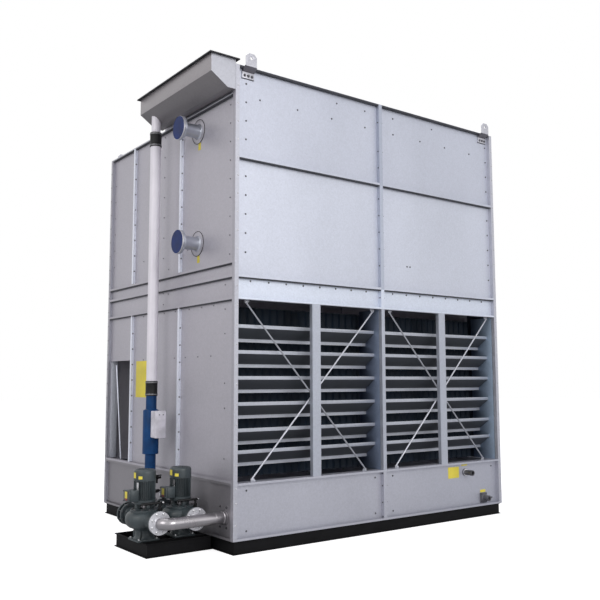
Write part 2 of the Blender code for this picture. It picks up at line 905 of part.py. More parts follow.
dress(spray, pipe_white, 0.4, 0.0, 40.0)


# Header hood and lid
def hood_outline(inset):
    o = left - hood_out + inset
    f = left - hood_floor_out + inset * 0.4
    w = left - seat_gap - inset
    low = hood_floor + inset
    shoulder = hood_shoulder + inset * 0.6
    return [(o, hood_wall_top), (o, shoulder), (f, low), (w, low), (w, hood_wall_top)]


hood_wall_top = hood_top - lid_sheet - seat_gap
hood_front = front
hood_back = front + coil_depth
bm = bmesh.new()
add_prism(bm, hood_outline(0.0), hood_front, hood_back, put_along_y)
hood = make_object("header_hood", bm)
inner = hood_outline(hood_sheet)
inner[0] = (inner[0][0], hood_top)
inner[-1] = (inner[-1][0], hood_top)
cut_piece(hood, lambda bm: add_prism(bm, inner, hood_front + hood_sheet, hood_back - hood_sheet, put_along_y))
dress(hood, zinc_side, 0.42, 0.6)

lid_x0 = left - hood_out - lid_overhang
lid_x1 = left + lid_inboard
lid_y0 = hood_front - lid_overhang
lid_y1 = hood_back + lid_overhang
bm = bmesh.new()
add_box(bm, lid_x0, lid_x1, lid_y0, lid_y1, hood_top - lid_rim, hood_top)
lid = make_object("hood_lid", bm)
t = lid_sheet
rim_low = hood_top - lid_rim - t
cut_piece(lid, lambda bm: add_box(bm, lid_x0 + t, lid_x1 - t, lid_y0 + t, lid_y1 - t, rim_low, hood_top - t))
dress(lid, (0.03, 0.03, 0.033), 0.5, 0.3)


# Coil nozzles with collar, flange and blank disc
def coil_nozzle(name, z):
    face = left - nozzle_reach
    wall = left + side_rib - seat_gap
    gasket_radius = blank_radius - gasket_setback
    gasket = face + flange_steel
    ring = gasket + gasket_steel
    neck = ring + flange_steel
    profile = [(0.0, face), (blank_radius, face), (blank_radius, gasket), (gasket_radius, gasket)]
    profile += [(gasket_radius, ring), (blank_radius, ring), (blank_radius, neck), (nozzle_radius, neck)]
    profile += [(nozzle_radius, wall - collar_steel), (wall_ring_radius, wall - collar_steel)]
    profile += [(wall_ring_radius, wall), (0.0, wall)]
    bm = bmesh.new()
    add_lathe(bm, profile, False, round_sides, around_x(front + nozzle_setback, z))
    nozzle = make_object(name, bm)
    dress(nozzle, pipe_steel, 0.35, 0.7, 40.0)


coil_nozzle("coil_nozzle_upper", nozzle_high)
coil_nozzle("coil_nozzle_lower", nozzle_low)

# Riser, couplings, descaler and control box
riser_x = left - riser_out
riser_y = front + riser_setback
at_riser = around_z(riser_x, riser_y)
bm = bmesh.new()
add_cylinder(bm, riser_radius, riser_joint + seat_gap, hood_shoulder, round_sides, at_riser)
riser = make_object("riser_pipe", bm)
slope_gap = seat_gap * 1.3
slope_rise = (hood_shoulder - hood_floor) / (hood_out - hood_floor_out)
cut_out = hood_out + riser_radius
cut_height = hood_shoulder + riser_radius * slope_rise - slope_gap
slope = [(left - cut_out, hood_top), (left - cut_out, cut_height)]
slope += [(left - hood_floor_out, hood_floor - slope_gap), (left, hood_floor - slope_gap), (left, hood_top)]
cut_piece(riser, lambda bm: add_prism(bm, slope, hood_front - 0.1, hood_back + 0.1, put_along_y))
dress(riser, pipe_white, 0.35, 0.0, 40.0)


def coupling(name, low, high):
    inner = riser_radius + seat_gap
    outer = inner + sleeve_wall
    clamp = outer + clamp_wall
    edge = clamp_edge
    width = clamp_width
    profile = [(inner, low), (outer, low), (outer, low + edge), (clamp, low + edge)]
    profile += [(clamp, low + edge + width)]
    profile += [(outer, low + edge + width), (outer, high - edge - width), (clamp, high - edge - width)]
    profile += [(clamp, high - edge), (outer, high - edge), (outer, high), (inner, high)]
    bm = bmesh.new()
    add_lathe(bm, profile, True, round_sides, at_riser)
    sleeve = make_object(name, bm)
    dress(sleeve, rubber, 0.6, 0.0, 40.0)


coupling("coupling_upper", high_sleeve_bottom, high_sleeve_top)
coupling("coupling_lower", low_sleeve_bottom, low_sleeve_top)

bm = bmesh.new()
body = descaler_radius
pipe = riser_radius
foot = riser_foot + seat_gap
profile = [(0.0, foot), (pipe, foot), (pipe, descaler_bottom), (body, descaler_bottom)]
profile += [(body, descaler_top), (pipe, descaler_top), (pipe, riser_joint), (0.0, riser_joint)]
add_lathe(bm, profile, False, round_sides, at_riser)
descaler = make_object("descaler", bm)
dress(descaler, pipe_blue, 0.4, 0.1, 40.0)

bm = bmesh.new()
box_x0 = riser_x - box_width * 0.36
box_y1 = riser_y - descaler_radius * math.cos(math.pi / round_sides) - seat_gap
add_box(bm, box_x0, box_x0 + box_width, box_y1 - box_depth, box_y1, box_bottom, box_top)
control_box = make_object("control_box", bm)
edges = control_box.modifiers.new("edges", "BEVEL")
edges.width = box_edge
edges.segments = 2
dress(control_box, (0.48, 0.47, 0.50), 0.5, 0.0)


# Pump bodies and motors
def pump_body(name, x):
    y = front + pump_setback
    z = pipe_height
    at_axis = around_z(x, y)
    bm = bmesh.new()
    foot_low = base_height + seat_gap
    half = foot_width / 2.0
    add_box(bm, x - half, x + half, y - half, y + half, foot_low, foot_low + foot_steel)
    pump = make_object(name, bm)
    r = volute_radius
    h = volute_half_height
    top = motor_bottom - seat_gap
    lantern_low = z + h + lantern_step
    lantern_high = top - lantern_flange
    profile = [(0.0, foot_low + foot_steel / 2.0), (neck_radius, foot_low + foot_steel / 2.0)]
    profile += [(neck_radius, z - h - lantern_step), (r * 0.72, z - h), (r * 0.93, z - h * 0.7)]
    profile += [(r, z - h * 0.25), (r, z + h * 0.25), (r * 0.93, z + h * 0.7), (r * 0.74, z + h)]
    profile += [(lantern_radius, lantern_low)]
    profile += [(lantern_radius, lantern_high), (motor_radius, lantern_high), (motor_radius, top), (0.0, top)]
    add_piece(pump, lambda bm: add_lathe(bm, profile, False, round_sides, at_axis))
    window_low = lantern_low + window_edge
    window_high = lantern_high - window_edge
    near = web_width / 2.0
    far = lantern_radius
    for x_sign, y_sign in ((1, 1), (-1, 1), (-1, -1), (1, -1)):
        x0, x1 = sorted((x + x_sign * near, x + x_sign * far))
        y0, y1 = sorted((y + y_sign * near, y + y_sign * far))
        cut_piece(pump, lambda bm: add_box(bm, x0, x1, y0, y1, window_low, window_high))
    a = y - pump_half_reach
    b = y + pump_half_reach
    f = flange_steel
    branch = [(0.0, a), (flange_radius, a), (flange_radius, a + f), (pipe_radius, a + f)]
    branch += [(pipe_radius, b - f), (flange_radius, b - f), (flange_radius, b), (0.0, b)]
    add_piece(pump, lambda bm: add_lathe(bm, branch, False, round_sides, around_y(x, z)))
    dress(pump, pump_green, 0.5, 0.2, 35.0)


def pump_motor(name, x):
    y = front + pump_setback
    bm = bmesh.new()
    r = motor_radius
    c = cowl_radius
    low = motor_bottom
    drop = cowl_round
    profile = [(0.0, low), (r, low), (r, motor_top), (c, motor_top + drop / 5.0), (c, cowl_top - drop)]
    profile += [(c * 0.93, cowl_top - drop * 0.3), (c * 0.7, cowl_top), (0.0, cowl_top)]
    add_lathe(bm, profile, False, round_sides, around_z(x, y))
    motor = make_object(name, bm)
    x0 = x - terminal_out
    x1 = x - r / 2.0
    y0 = y - terminal_width / 2.0
    y1 = y + terminal_width / 2.0
    add_piece(motor, lambda bm: add_box(bm, x0, x1, y0, y1, terminal_bottom, terminal_top))
    dress(motor, pump_green, 0.45, 0.2, 35.0)


pump_places = {"outer": left - outer_pump, "inner": left - inner_pump}
for name, x in pump_places.items():
    pump_body("pump_body_" + name, x)
    pump_motor("pump_motor_" + name, x)

# Suction manifold from the basin wall to both pumps
flange_y = front + pump_setback - pump_half_reach - seat_gap
run_y = front + manifold_setback
wall_x = left + side_rib - seat_gap
x_out = pump_places["outer"]
x_in = pump_places["inner"]
z = pipe_height
path = [(x_out, flange_y - sheet, z)]
path += quarter_bend((x_out, run_y, z), (0.0, -1.0, 0.0), (1.0, 0.0, 0.0), bend_radius, bend_steps)
path += [(wall_x - sheet, run_y, z)]
bm = bmesh.new()
add_tube(bm, path, pipe_radius, round_sides)
suction = make_object("suction_manifold", bm)
at_inlet = around_y(x_in, z)
inlet_radius = pipe_radius * 0.95
add_piece(suction, lambda bm: add_cylinder(bm, inlet_radius, run_y, flange_y - sheet, round_sides, at_inlet))
ring_y = flange_y - flange_steel
for x in (x_out, x_in):
    at_port = around_y(x, z)
    add_piece(suction, lambda bm: add_cylinder(bm, flange_radius, ring_y, flange_y, round_sides, at_port))
at_wall = around_x(run_y, z)
collar_x = wall_x - wall_collar_steel
add_piece(suction, lambda bm: add_cylinder(bm, wall_collar_radius, collar_x, wall_x, round_sides, at_wall))
dress(suction, pipe_steel, 0.3, 0.8, 40.0)

# Discharge header with a valve behind each pump and a ball tee under the riser
valve_y = front + pump_setback + pump_half_reach + seat_gap
pipe_y = valve_y + valve_length
valve_mid = valve_y + valve_length / 2.0
tee_depth = math.sqrt(tee_radius ** 2 - pipe_radius ** 2) - bend_clearance
header_y = pipe_y + flange_steel + bend_clearance + bend_radius
ahead = (0.0, 1.0, 0.0)
across = (1.0, 0.0, 0.0)
bm = bmesh.new()
path = [(x_out, valve_mid, z)]
path += quarter_bend((x_out, header_y, z), ahead, across, bend_radius, bend_steps)
path += quarter_bend((riser_x, header_y, z), across, ahead, bend_radius, bend_steps)
path += [(riser_x, riser_y - tee_depth, z)]
add_tube(bm, path, pipe_radius, round_sides)
discharge = make_object("discharge_header", bm)
profile = [(0.0, z - tee_radius * math.sin(math.radians(75.0)))]
neck_steps = 5
for k in range(neck_steps + 1):
    angle = math.radians(-75.0 + 125.0 * k / neck_steps)
    profile.append((tee_radius * math.cos(angle), z + tee_radius * math.sin(angle)))
neck = profile[-1][0]
profile += [(neck, riser_foot - tee_flange_steel), (tee_flange_radius, riser_foot - tee_flange_steel)]
profile += [(tee_flange_radius, riser_foot), (0.0, riser_foot)]
add_piece(discharge, lambda bm: add_lathe(bm, profile, False, round_sides, at_riser))
add_piece(
    discharge,
    lambda bm: add_cylinder(bm, pipe_radius * 0.97, valve_mid, header_y, round_sides, around_y(x_in, z)),
)
for x in (x_out, x_in):
    valve = [(0.0, valve_y), (valve_radius, valve_y), (valve_radius, pipe_y), (flange_radius, pipe_y)]
    valve += [(flange_radius, pipe_y + flange_steel), (0.0, pipe_y + flange_steel)]
    add_piece(discharge, lambda bm: add_lathe(bm, valve, False, round_sides, around_y(x, z)))
    add_piece(
        discharge,
        lambda bm: add_cylinder(bm, stem_radius, z, z + stem_height, cup_sides, around_z(x, valve_mid)),
    )
dress(discharge, pipe_steel, 0.4, 0.6, 40.0)


# Lifting lugs, joggled out past the roof flange
def lifting_lug(name, x, side, rib, roof):
    half = lug_steel / 2.0
    inner = rib - seat_gap - half
    outer = inner - lug_joggle
    low = roof - lug_drop - lug_foot
    knee = roof - lug_drop
    elbow = roof
    outline = [(inner + half, low), (inner + half, knee + half * 0.4), (outer + half, elbow + half * 0.4)]
    outline += [(outer + half, elbow + lug_neck), (outer - half, elbow + lug_neck)]
    outline += [(outer - half, elbow - half * 0.4)]
    outline += [(inner - half, knee - half * 0.4), (inner - half, low)]
    place = put_front if side == "front" else put_back
    bm = bmesh.new()
    add_prism(bm, outline, x - lug_width / 2.0, x + lug_width / 2.0, place)
    lug = make_object(name, bm)
    w = lug_width * 0.41
    c = lug_chamfer
    high = roof + lug_rise
    eye = [(x - w, elbow + 0.012), (x + w, elbow + 0.012), (x + w, high - c), (x + w - c, high)]
    eye += [(x - w + c, high), (x - w, high - c)]
    if side == "front":
        y0 = front + outer - half + 0.0002
        y1 = front + outer + half - 0.0002
    else:
        y0 = back - outer - half + 0.0002
        y1 = back - outer + half - 0.0002
    add_piece(lug, lambda bm: add_prism(bm, eye, y0, y1, put_along_y))
    at_eye = around_y(x, high - lug_eye_drop)
    cut_piece(lug, lambda bm: add_cylinder(bm, lug_hole, y0 - lip, y1 + lip, round_sides, at_eye))
    dress(lug, zinc, 0.45, 0.5)


lug_places = (left + lug_inset, right - lug_inset)
for name, x in zip(("left", "right"), lug_places):
    lifting_lug("lifting_lug_front_" + name, x, "front", front_rib, high_roof)
    lifting_lug("lifting_lug_rear_" + name, x, "back", side_rib, low_roof)


# Basin fittings on the louvre side
def pipe_stub(bm, radius, x, z, reach):
    wall = front + front_rib - seat_gap
    tip = wall - reach
    end = tip + bore_depth
    bore = fitting_bore
    profile = [(0.0, wall), (radius, wall), (radius, tip), (bore, tip), (bore, end), (0.0, end)]
    add_lathe(bm, profile, False, round_sides, around_y(x, z))


bm = bmesh.new()
pipe_stub(bm, makeup_radius, left + makeup_from_left, makeup_height, makeup_reach)
makeup = make_object("makeup_fitting", bm)
dress(makeup, (0.05, 0.05, 0.055), 0.5, 0.5, 40.0)

bm = bmesh.new()
pipe_stub(bm, drain_radius, left + drain_from_left, drain_height, drain_reach)
drain = make_object("drain_fitting", bm)
plate_y1 = front + front_rib - seat_gap
plate_y0 = plate_y1 - drain_plate_steel
half = drain_plate / 2.0
x = left + drain_from_left
add_piece(
    drain,
    lambda bm: add_box(bm, x - half, x + half, plate_y0, plate_y1, drain_height - half, drain_height + half),
)
dress(drain, (0.20, 0.19, 0.19), 0.5, 0.5, 40.0)
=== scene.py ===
import math

import bpy
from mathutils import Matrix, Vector


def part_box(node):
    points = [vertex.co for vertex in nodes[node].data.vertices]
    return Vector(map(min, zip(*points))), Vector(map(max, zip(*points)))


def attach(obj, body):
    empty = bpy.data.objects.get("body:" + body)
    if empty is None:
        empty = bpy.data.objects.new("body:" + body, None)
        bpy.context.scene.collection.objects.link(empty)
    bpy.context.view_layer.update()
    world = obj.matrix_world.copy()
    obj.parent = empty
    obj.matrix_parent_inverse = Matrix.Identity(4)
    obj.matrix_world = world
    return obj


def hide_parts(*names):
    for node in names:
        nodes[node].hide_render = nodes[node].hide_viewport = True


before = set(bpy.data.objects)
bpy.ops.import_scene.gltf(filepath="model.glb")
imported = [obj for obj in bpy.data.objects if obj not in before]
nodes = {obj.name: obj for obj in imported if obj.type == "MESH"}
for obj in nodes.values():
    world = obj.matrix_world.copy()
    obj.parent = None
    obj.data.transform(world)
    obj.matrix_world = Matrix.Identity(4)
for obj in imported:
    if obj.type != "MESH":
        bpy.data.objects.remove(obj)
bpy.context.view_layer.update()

# Places on the tower, in metres
left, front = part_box("corner_post_front_left")[0].xy
right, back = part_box("corner_post_rear_right")[1].xy
length = right - left
width = back - front
front_rib = 0.042
side_rib = 0.03
lintel_bottom = 2.277
module_joint = 2.486
casing_joint = 3.609
low_roof = 4.229
high_roof = 4.5
near_rib = front + 1.078
far_rib = front + 2.207
pump_y = front + 0.587
pump_reach = 0.3
outer_pump = left - 0.573
inner_pump = left - 0.213
pipe_z = 0.305
pipe_radius = 0.052
bend = 0.085
nozzle_y = front + 0.755
hood_out = 0.264
hood_floor_out = 0.087
riser = Vector((left - 0.155, front + 1.345, 0.0))
post_wide = 0.046
seam_half = 0.018
hood_low, hood_knee, hood_high = 4.25, 4.369, 4.5415
spray_z = 4.37
same_place = 0.00001
origin = (0.0, 0.0, 0.0)

turn_to = {"x": (0.0, math.pi / 2.0, 0.0), "y": (-math.pi / 2.0, 0.0, 0.0), "z": (0.0, 0.0, 0.0)}
way = {"x": Vector((1.0, 0.0, 0.0)), "y": Vector((0.0, 1.0, 0.0)), "z": Vector((0.0, 0.0, 1.0))}


# Bench tools: select, settle, soften, turn, cut to length, copy and join
def take(piece):
    bpy.ops.object.select_all(action="DESELECT")
    piece.select_set(True)
    bpy.context.view_layer.objects.active = piece


def settle(piece):
    take(piece)
    bpy.ops.object.transform_apply(location=True, rotation=True, scale=True)
    return piece


def smooth(piece, angle=35.0):
    take(piece)
    bpy.ops.object.shade_smooth_by_angle(angle=math.radians(angle))
    return piece


def edit(piece):
    take(piece)
    bpy.ops.object.mode_set(mode="EDIT")
    bpy.ops.mesh.select_all(action="SELECT")


def close_mesh(merge=True):
    bpy.ops.mesh.select_all(action="SELECT")
    if merge:
        bpy.ops.mesh.remove_doubles(threshold=same_place)
    bpy.ops.mesh.normals_make_consistent(inside=False)
    bpy.ops.object.mode_set(mode="OBJECT")


def open_faces(piece, direction):
    for part in (*piece.data.vertices, *piece.data.edges):
        part.select = False
    for face in piece.data.polygons:
        face.select = face.normal.dot(Vector(direction)) > 0.9
    take(piece)
    bpy.ops.object.mode_set(mode="EDIT")
    bpy.ops.mesh.select_mode(type="FACE")


def close_faces():
    bpy.ops.mesh.select_mode(type="VERT")
    bpy.ops.object.mode_set(mode="OBJECT")


def cut_off(piece, point, normal):
    edit(piece)
    bpy.ops.mesh.bisect(plane_co=point, plane_no=normal, use_fill=True, clear_inner=False, clear_outer=True)
    bpy.ops.object.mode_set(mode="OBJECT")


def reshape(piece, kind, **settings):
    take(piece)
    step = piece.modifiers.new(kind.lower(), kind)
    for key, value in settings.items():
        setattr(step, key, value)
    bpy.ops.object.modifier_apply(modifier=step.name)
    return piece


def soften(piece, edge_width, steps=2, angle=40.0):
    return reshape(piece, "BEVEL", width=edge_width, segments=steps, limit_method="ANGLE",
                   angle_limit=math.radians(angle))


def added(name):
    piece = bpy.context.active_object
    piece.name = name
    return piece


def block(name, low, high, edge_width=0.0):
    low, high = Vector(low), Vector(high)
    bpy.ops.mesh.primitive_cube_add(size=1.0, location=(low + high) / 2.0, scale=high - low)
    piece = settle(added(name))
    if edge_width > 0.0:
        soften(piece, edge_width)
    return smooth(piece)


def disc(name, sides, radius, spot, axis, fill):
    bpy.ops.mesh.primitive_circle_add(
        vertices=sides, radius=radius, fill_type=fill, location=spot, rotation=turn_to[axis])
    piece = added(name)
    edit(piece)
    return piece


def turned(name, centre, axis, stations, sides, ring=False, angle=35.0):
    centre = Vector(centre)
    radius, reach = stations[0]
    piece = disc(name, sides, radius, centre + way[axis] * reach, axis, "NOTHING" if ring else "NGON")
    for next_radius, next_reach in stations[1:] + (stations[:1] if ring else []):
        step = way[axis] * (next_reach - reach)
        bpy.ops.mesh.extrude_region_move(TRANSFORM_OT_translate={"value": step})
        if next_radius != radius:
            grow = next_radius / radius
            spot = centre + way[axis] * next_reach
            bpy.ops.transform.resize(value=(grow, grow, grow), center_override=spot)
        radius, reach = next_radius, next_reach
    close_mesh(merge=ring)
    return smooth(settle(piece), angle)


def piped(name, start, heading, radius, moves, sides):
    spot, heading = Vector(start), Vector(heading)
    letter = "xyz"[[abs(c) > 0.5 for c in heading].index(True)]
    piece = disc(name, sides, radius, spot, letter, "NGON")
    for amount, towards in moves:
        if towards is None:
            bpy.ops.mesh.extrude_region_move(TRANSFORM_OT_translate={"value": heading * amount})
            spot = spot + heading * amount
        else:
            hub = spot + towards * amount
            bpy.ops.mesh.spin(steps=12, angle=math.pi / 2.0, center=hub, axis=towards.cross(heading))
            spot = hub + heading * amount
            heading = towards
    close_mesh()
    return smooth(settle(piece))


def scrap(piece):
    bpy.data.objects.remove(piece, do_unlink=True)


def copies(pattern, places):
    made = []
    for place in places:
        twin = pattern.copy()
        twin.data = pattern.data.copy()
        bpy.context.scene.collection.objects.link(twin)
        twin.location = place
        made.append(twin)
    scrap(pattern)
    return made


def ringed(pattern, centre, angles):
    made = copies(pattern, [centre] * len(angles))
    for twin, angle in zip(made, angles):
        twin.rotation_euler.z = math.radians(angle)
    return made


def joined(name, pieces):
    bpy.ops.object.select_all(action="DESELECT")
    for piece in pieces:
        piece.select_set(True)
    bpy.context.view_layer.objects.active = pieces[0]
    bpy.ops.object.join()
    return settle(added(name))


def grid(xs, ys, zs):
    xs, ys, zs = ([c] if isinstance(c, float) else c for c in (xs, ys, zs))
    return [(x, y, z) for x in xs for y in ys for z in zs]


def fitted(piece, finish, slot, *stands_for):
    settle(piece)
    piece.data.materials.clear()
    piece.data.materials.append(finish)
    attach(piece, "root")
    if stands_for:
        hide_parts(*stands_for)
    return piece


# Finishes
def feed(owner, node, feeds):
    for key, value in feeds.items():
        if isinstance(value, bpy.types.NodeSocket):
            owner.node_tree.links.new(value, node.inputs[key])
        else:
            node.inputs[key].default_value = value


def add_node(owner, kind, feeds, **settings):
    node = owner.node_tree.nodes.new(kind)
    for key, value in settings.items():
        setattr(node, key, value)
    feed(owner, node, feeds)
    return node


def reckon(owner, operation, first, second):
    return add_node(owner, "ShaderNodeMath", {0: first, 1: second}, operation=operation).outputs["Value"]


def place_on(finish):
    return add_node(finish, "ShaderNodeTexCoord", {}).outputs["Object"]


def noise(finish, scale, detail, stretch=(1.0, 1.0, 1.0)):
    mapping = add_node(finish, "ShaderNodeMapping", {"Vector": place_on(finish), "Scale": stretch})
    feeds = {"Vector": mapping.outputs["Vector"], "Scale": scale, "Detail": detail}
    return add_node(finish, "ShaderNodeTexNoise", feeds).outputs["Fac"]


def with_spangle(finish, cloud):
    cells = add_node(finish, "ShaderNodeTexVoronoi", {"Vector": place_on(finish), "Scale": 70.0}, feature="F1")
    grey = add_node(finish, "ShaderNodeRGBToBW", {"Color": cells.outputs["Color"]})
    feeds = {0: 0.35, 2: cloud, 3: grey.outputs["Val"]}
    return add_node(finish, "ShaderNodeMix", feeds, data_type="FLOAT").outputs[0]


def grained(name, colour, metallic, roughness, cloud, tones, spread, relief, spangled=False):
    finish = bpy.data.materials.new(name)
    finish.use_nodes = True
    shader = finish.node_tree.nodes["Principled BSDF"]
    factor = noise(finish, *cloud)
    if spangled:
        factor = with_spangle(finish, factor)
    ramp = add_node(finish, "ShaderNodeValToRGB", {"Fac": factor})
    for k, spot in enumerate((0.25, 0.75) if spangled else (0.3, 0.7)):
        ramp.color_ramp.elements[k].position = spot
        ramp.color_ramp.elements[k].color = (*(min(c * tones[k], 1.0) for c in colour), 1.0)
    feeds = {"Value": factor, "To Min": roughness + spread[0], "To Max": roughness + spread[1]}
    span = add_node(finish, "ShaderNodeMapRange", feeds)
    scale, detail, strength, distance = relief
    feeds = {"Height": noise(finish, scale, detail), "Strength": strength, "Distance": distance}
    bump = add_node(finish, "ShaderNodeBump", feeds)
    feed(finish, shader, {"Base Color": (*colour, 1.0), "Metallic": metallic, "Roughness": roughness})
    feed(finish, shader, {"Base Color": ramp.outputs["Color"], "Roughness": span.outputs["Result"],
                          "Normal": bump.outputs["Normal"]})
    return finish


def zinc_sheet(name, colour, metallic=0.45, roughness=0.42, waviness=0.012):
    cloud, relief = (1.1, 3.0, (1.0, 1.0, 0.45)), (1.6, 1.0, 0.6, waviness)
    return grained(name, colour, metallic, roughness, cloud, (0.9, 1.07), (-0.07, 0.09), relief, spangled=True)


def cast_paint(name, colour, roughness=0.5, grain=260.0, depth=0.0006):
    relief = (grain, 3.0, 0.35, depth)
    return grained(name, colour, 0.0, roughness, (9.0, 4.0), (0.72, 1.35), (-0.08, 0.12), relief)


def turned_steel(name, colour, roughness=0.3, metallic=0.85):
    streak, relief = (5.0, 2.0, (1.0, 1.0, 2.0)), (60.0, 1.0, 0.06, 0.0003)
    return grained(name, colour, metallic, roughness, streak, (0.9, 1.06), (-0.03, 0.06), relief)


def smooth_plastic(name, colour, roughness=0.32, vary=0.05):
    tones, relief = (1.0 - vary, 1.0 + vary), (320.0, 2.0, 0.08, 0.0003)
    return grained(name, colour, 0.0, roughness, (4.0, 3.0), tones, (-0.04, 0.08), relief)


def place_along(finish, axis):
    return add_node(finish, "ShaderNodeSeparateXYZ", {"Vector": place_on(finish)}).outputs[axis]


def where_below(finish, axis, limit):
    return reckon(finish, "LESS_THAN", place_along(finish, axis), limit)


def where_between(finish, axis, low, high):
    return reckon(finish, "SUBTRACT", where_below(finish, axis, high), where_below(finish, axis, low))


def along_axis(finish, axis, start, end):
    feeds = {"Value": place_along(finish, axis), "From Min": start, "From Max": end}
    return add_node(finish, "ShaderNodeMapRange", feeds).outputs["Result"]


# Painted shade: mask of the strip of the side walls between the louvres and the fill, which is darkened almost to
# black for the shade inside the casing.
def gap_beside_fill(finish):
    across = where_between(finish, "X", left + 0.031, right - 0.031)
    deep = where_between(finish, "Y", front + 0.045, front + 0.43)
    low = where_below(finish, "Z", module_joint)
    return reckon(finish, "MULTIPLY", across, reckon(finish, "MULTIPLY", deep, low))


def tone_down(finish, tone, mask, *limits):
    shader = finish.node_tree.nodes["Principled BSDF"]
    source = shader.inputs["Base Color"].links[0].from_socket
    feeds = {0: mask(finish, *limits), 6: source, 7: (*tone, 1.0)}
    mix = add_node(finish, "ShaderNodeMix", feeds, data_type="RGBA", blend_type="MULTIPLY")
    feed(finish, shader, {"Base Color": mix.outputs[2]})


def less_shine(finish, amount):
    feed(finish, finish.node_tree.nodes["Principled BSDF"], {"Specular IOR Level": amount})
    return finish


sheet_front = zinc_sheet("galvanised sheet", (0.574, 0.598, 0.684))
# Painted shade: the middle seam of the front panels is darkened for the shade on its flanks, and the panels above the
# casing joint are darkened for the light falling off with height.
tone_down(sheet_front, (0.78, 0.8, 0.83), where_between, "X", -0.0228, 0.0228)
tone_down(sheet_front, (0.91, 0.91, 0.92), where_between, "Z", casing_joint, high_roof + 0.2)
lintel_sheet = zinc_sheet("galvanised lintel sheet", (0.66, 0.705, 0.81))
tone_down(lintel_sheet, (0.67, 0.66, 0.66), where_below, "Z", 2.282)
basin_sheet = zinc_sheet("galvanised basin sheet", (0.48, 0.485, 0.55))
# Painted shade: the left wall of the basin is darkened for the shade on that side, and the basin also grows darker
# towards the right end.
tone_down(basin_sheet, (0.55, 0.52, 0.5), where_below, "X", left + 0.0325)
tone_down(basin_sheet, (0.9, 0.91, 0.93), along_axis, "X", 0.0, right)
sheet_side = zinc_sheet("galvanised side sheet", (0.45, 0.434, 0.482))
# Painted shade on the inner strip of the side walls beside the fill
tone_down(sheet_side, (0.05, 0.07, 0.1), gap_beside_fill)
hood_side = zinc_sheet("hood side sheet", (0.33, 0.31, 0.325))
hood_end = zinc_sheet("hood end sheet", (0.445, 0.45, 0.5))
post_zinc = zinc_sheet("corner post zinc", (0.49, 0.495, 0.555), 0.4, 0.38, 0.006)
# Painted shade: the side faces of the left corner posts are darkened for the shade on that side.
tone_down(post_zinc, (0.79, 0.76, 0.76), where_below, "X", left + 0.0012)
# Painted light and shade: a lit, brighter copy of the zinc for the rising braces and the wall head edges, and a
# shaded, darker copy for the falling braces.
folded_edge = zinc_sheet("folded zinc corner", (0.58, 0.59, 0.65), 0.4, 0.38, 0.006)
rod_shade = zinc_sheet("dull rod zinc", (0.36, 0.37, 0.41), 0.4, 0.4, 0.004)
slat_zinc = zinc_sheet("louvre zinc", (0.5, 0.52, 0.58), 0.5, 0.36, 0.006)
slat_shade = zinc_sheet("shaded louvre face", (0.075, 0.082, 0.096), 0.3, 0.45, 0.006)
plate_zinc = zinc_sheet("louvre side plate", (0.39, 0.49, 0.62), 0.35, 0.42, 0.006)
# Painted shade: the louvre side plates darken deeper into the opening, and all but the right-hand plate are darker
# again for the shade on them.
tone_down(plate_zinc, (0.18, 0.2, 0.26), along_axis, "Y", front + 0.06, front + 0.33)
tone_down(plate_zinc, (0.62, 0.6, 0.66), where_below, "X", length / 4.0)
# Painted highlight: the seam caps, the access stay and the access jamb get near-white, lit copies of the zinc.
seam_edge = zinc_sheet("seam cap zinc", (0.82, 0.85, 0.965), 0.3, 0.36, 0.004)
jamb_zinc = zinc_sheet("folded jamb zinc", (0.8, 0.82, 0.9), 0.2, 0.45, 0.004)
hood_shade = zinc_sheet("shaded hood floor", (0.185, 0.175, 0.185), 0.35, 0.45, 0.006)
lug_zinc = zinc_sheet("lug zinc", (0.52, 0.52, 0.57), 0.45, 0.42, 0.002)
lug_shade = zinc_sheet("shaded lug neck", (0.135, 0.13, 0.15), 0.4, 0.5, 0.002)
dull_zinc = zinc_sheet("hot dipped zinc", (0.3, 0.3, 0.32), 0.5, 0.5, 0.004)
fitting_grey = cast_paint("grey fitting paint", (0.1, 0.1, 0.115), 0.45, 150.0, 0.0003)
frame_black = less_shine(cast_paint("black base paint", (0.006, 0.006, 0.007), 0.6, 190.0, 0.0005), 0.12)
pump_paint = cast_paint("grey green pump paint", (0.038, 0.05, 0.056), 0.42)
dark_paint = cast_paint("dark fan paint", (0.03, 0.031, 0.034), 0.5)
lid_paint = less_shine(cast_paint("dark hood lid", (0.04, 0.04, 0.045), 0.5, 120.0), 0.2)
box_paint = cast_paint("light grey box paint", (0.62, 0.6, 0.66), 0.45, 240.0, 0.0004)
stainless = turned_steel("pickled stainless pipe", (0.36, 0.345, 0.365), 0.27, 0.9)
nozzle_steel = turned_steel("galvanised nozzle pipe", (0.46, 0.48, 0.55), 0.34, 0.7)
flange_steel = turned_steel("dull flange steel", (0.56, 0.56, 0.6), 0.42, 0.6)
screw_steel = turned_steel("dark screw steel", (0.1, 0.1, 0.11), 0.45, 0.6)
wall_screw = turned_steel("wall screw steel", (0.2, 0.2, 0.22), 0.45, 0.5)
bright_steel = turned_steel("bright clamp steel", (0.62, 0.62, 0.64), 0.25, 0.9)
band_steel = turned_steel("dull band steel", (0.16, 0.16, 0.17), 0.35, 0.8)
fill_plastic = less_shine(smooth_plastic("black fill sheet", (0.008, 0.015, 0.027), 0.6, 0.3), 0.2)
white_pipe = smooth_plastic("white pipe plastic", (0.76, 0.73, 0.79), 0.3)
blue_paint = less_shine(cast_paint("blue descaler paint", (0.003, 0.04, 0.135), 0.45, 150.0, 0.0003), 0.2)
blank_blue = less_shine(cast_paint("blue blank disc", (0.0105, 0.025, 0.113), 0.5, 90.0, 0.0004), 0.2)
black_rubber = less_shine(smooth_plastic("black rubber sleeve", (0.009, 0.009, 0.01), 0.5, 0.2), 0.25)
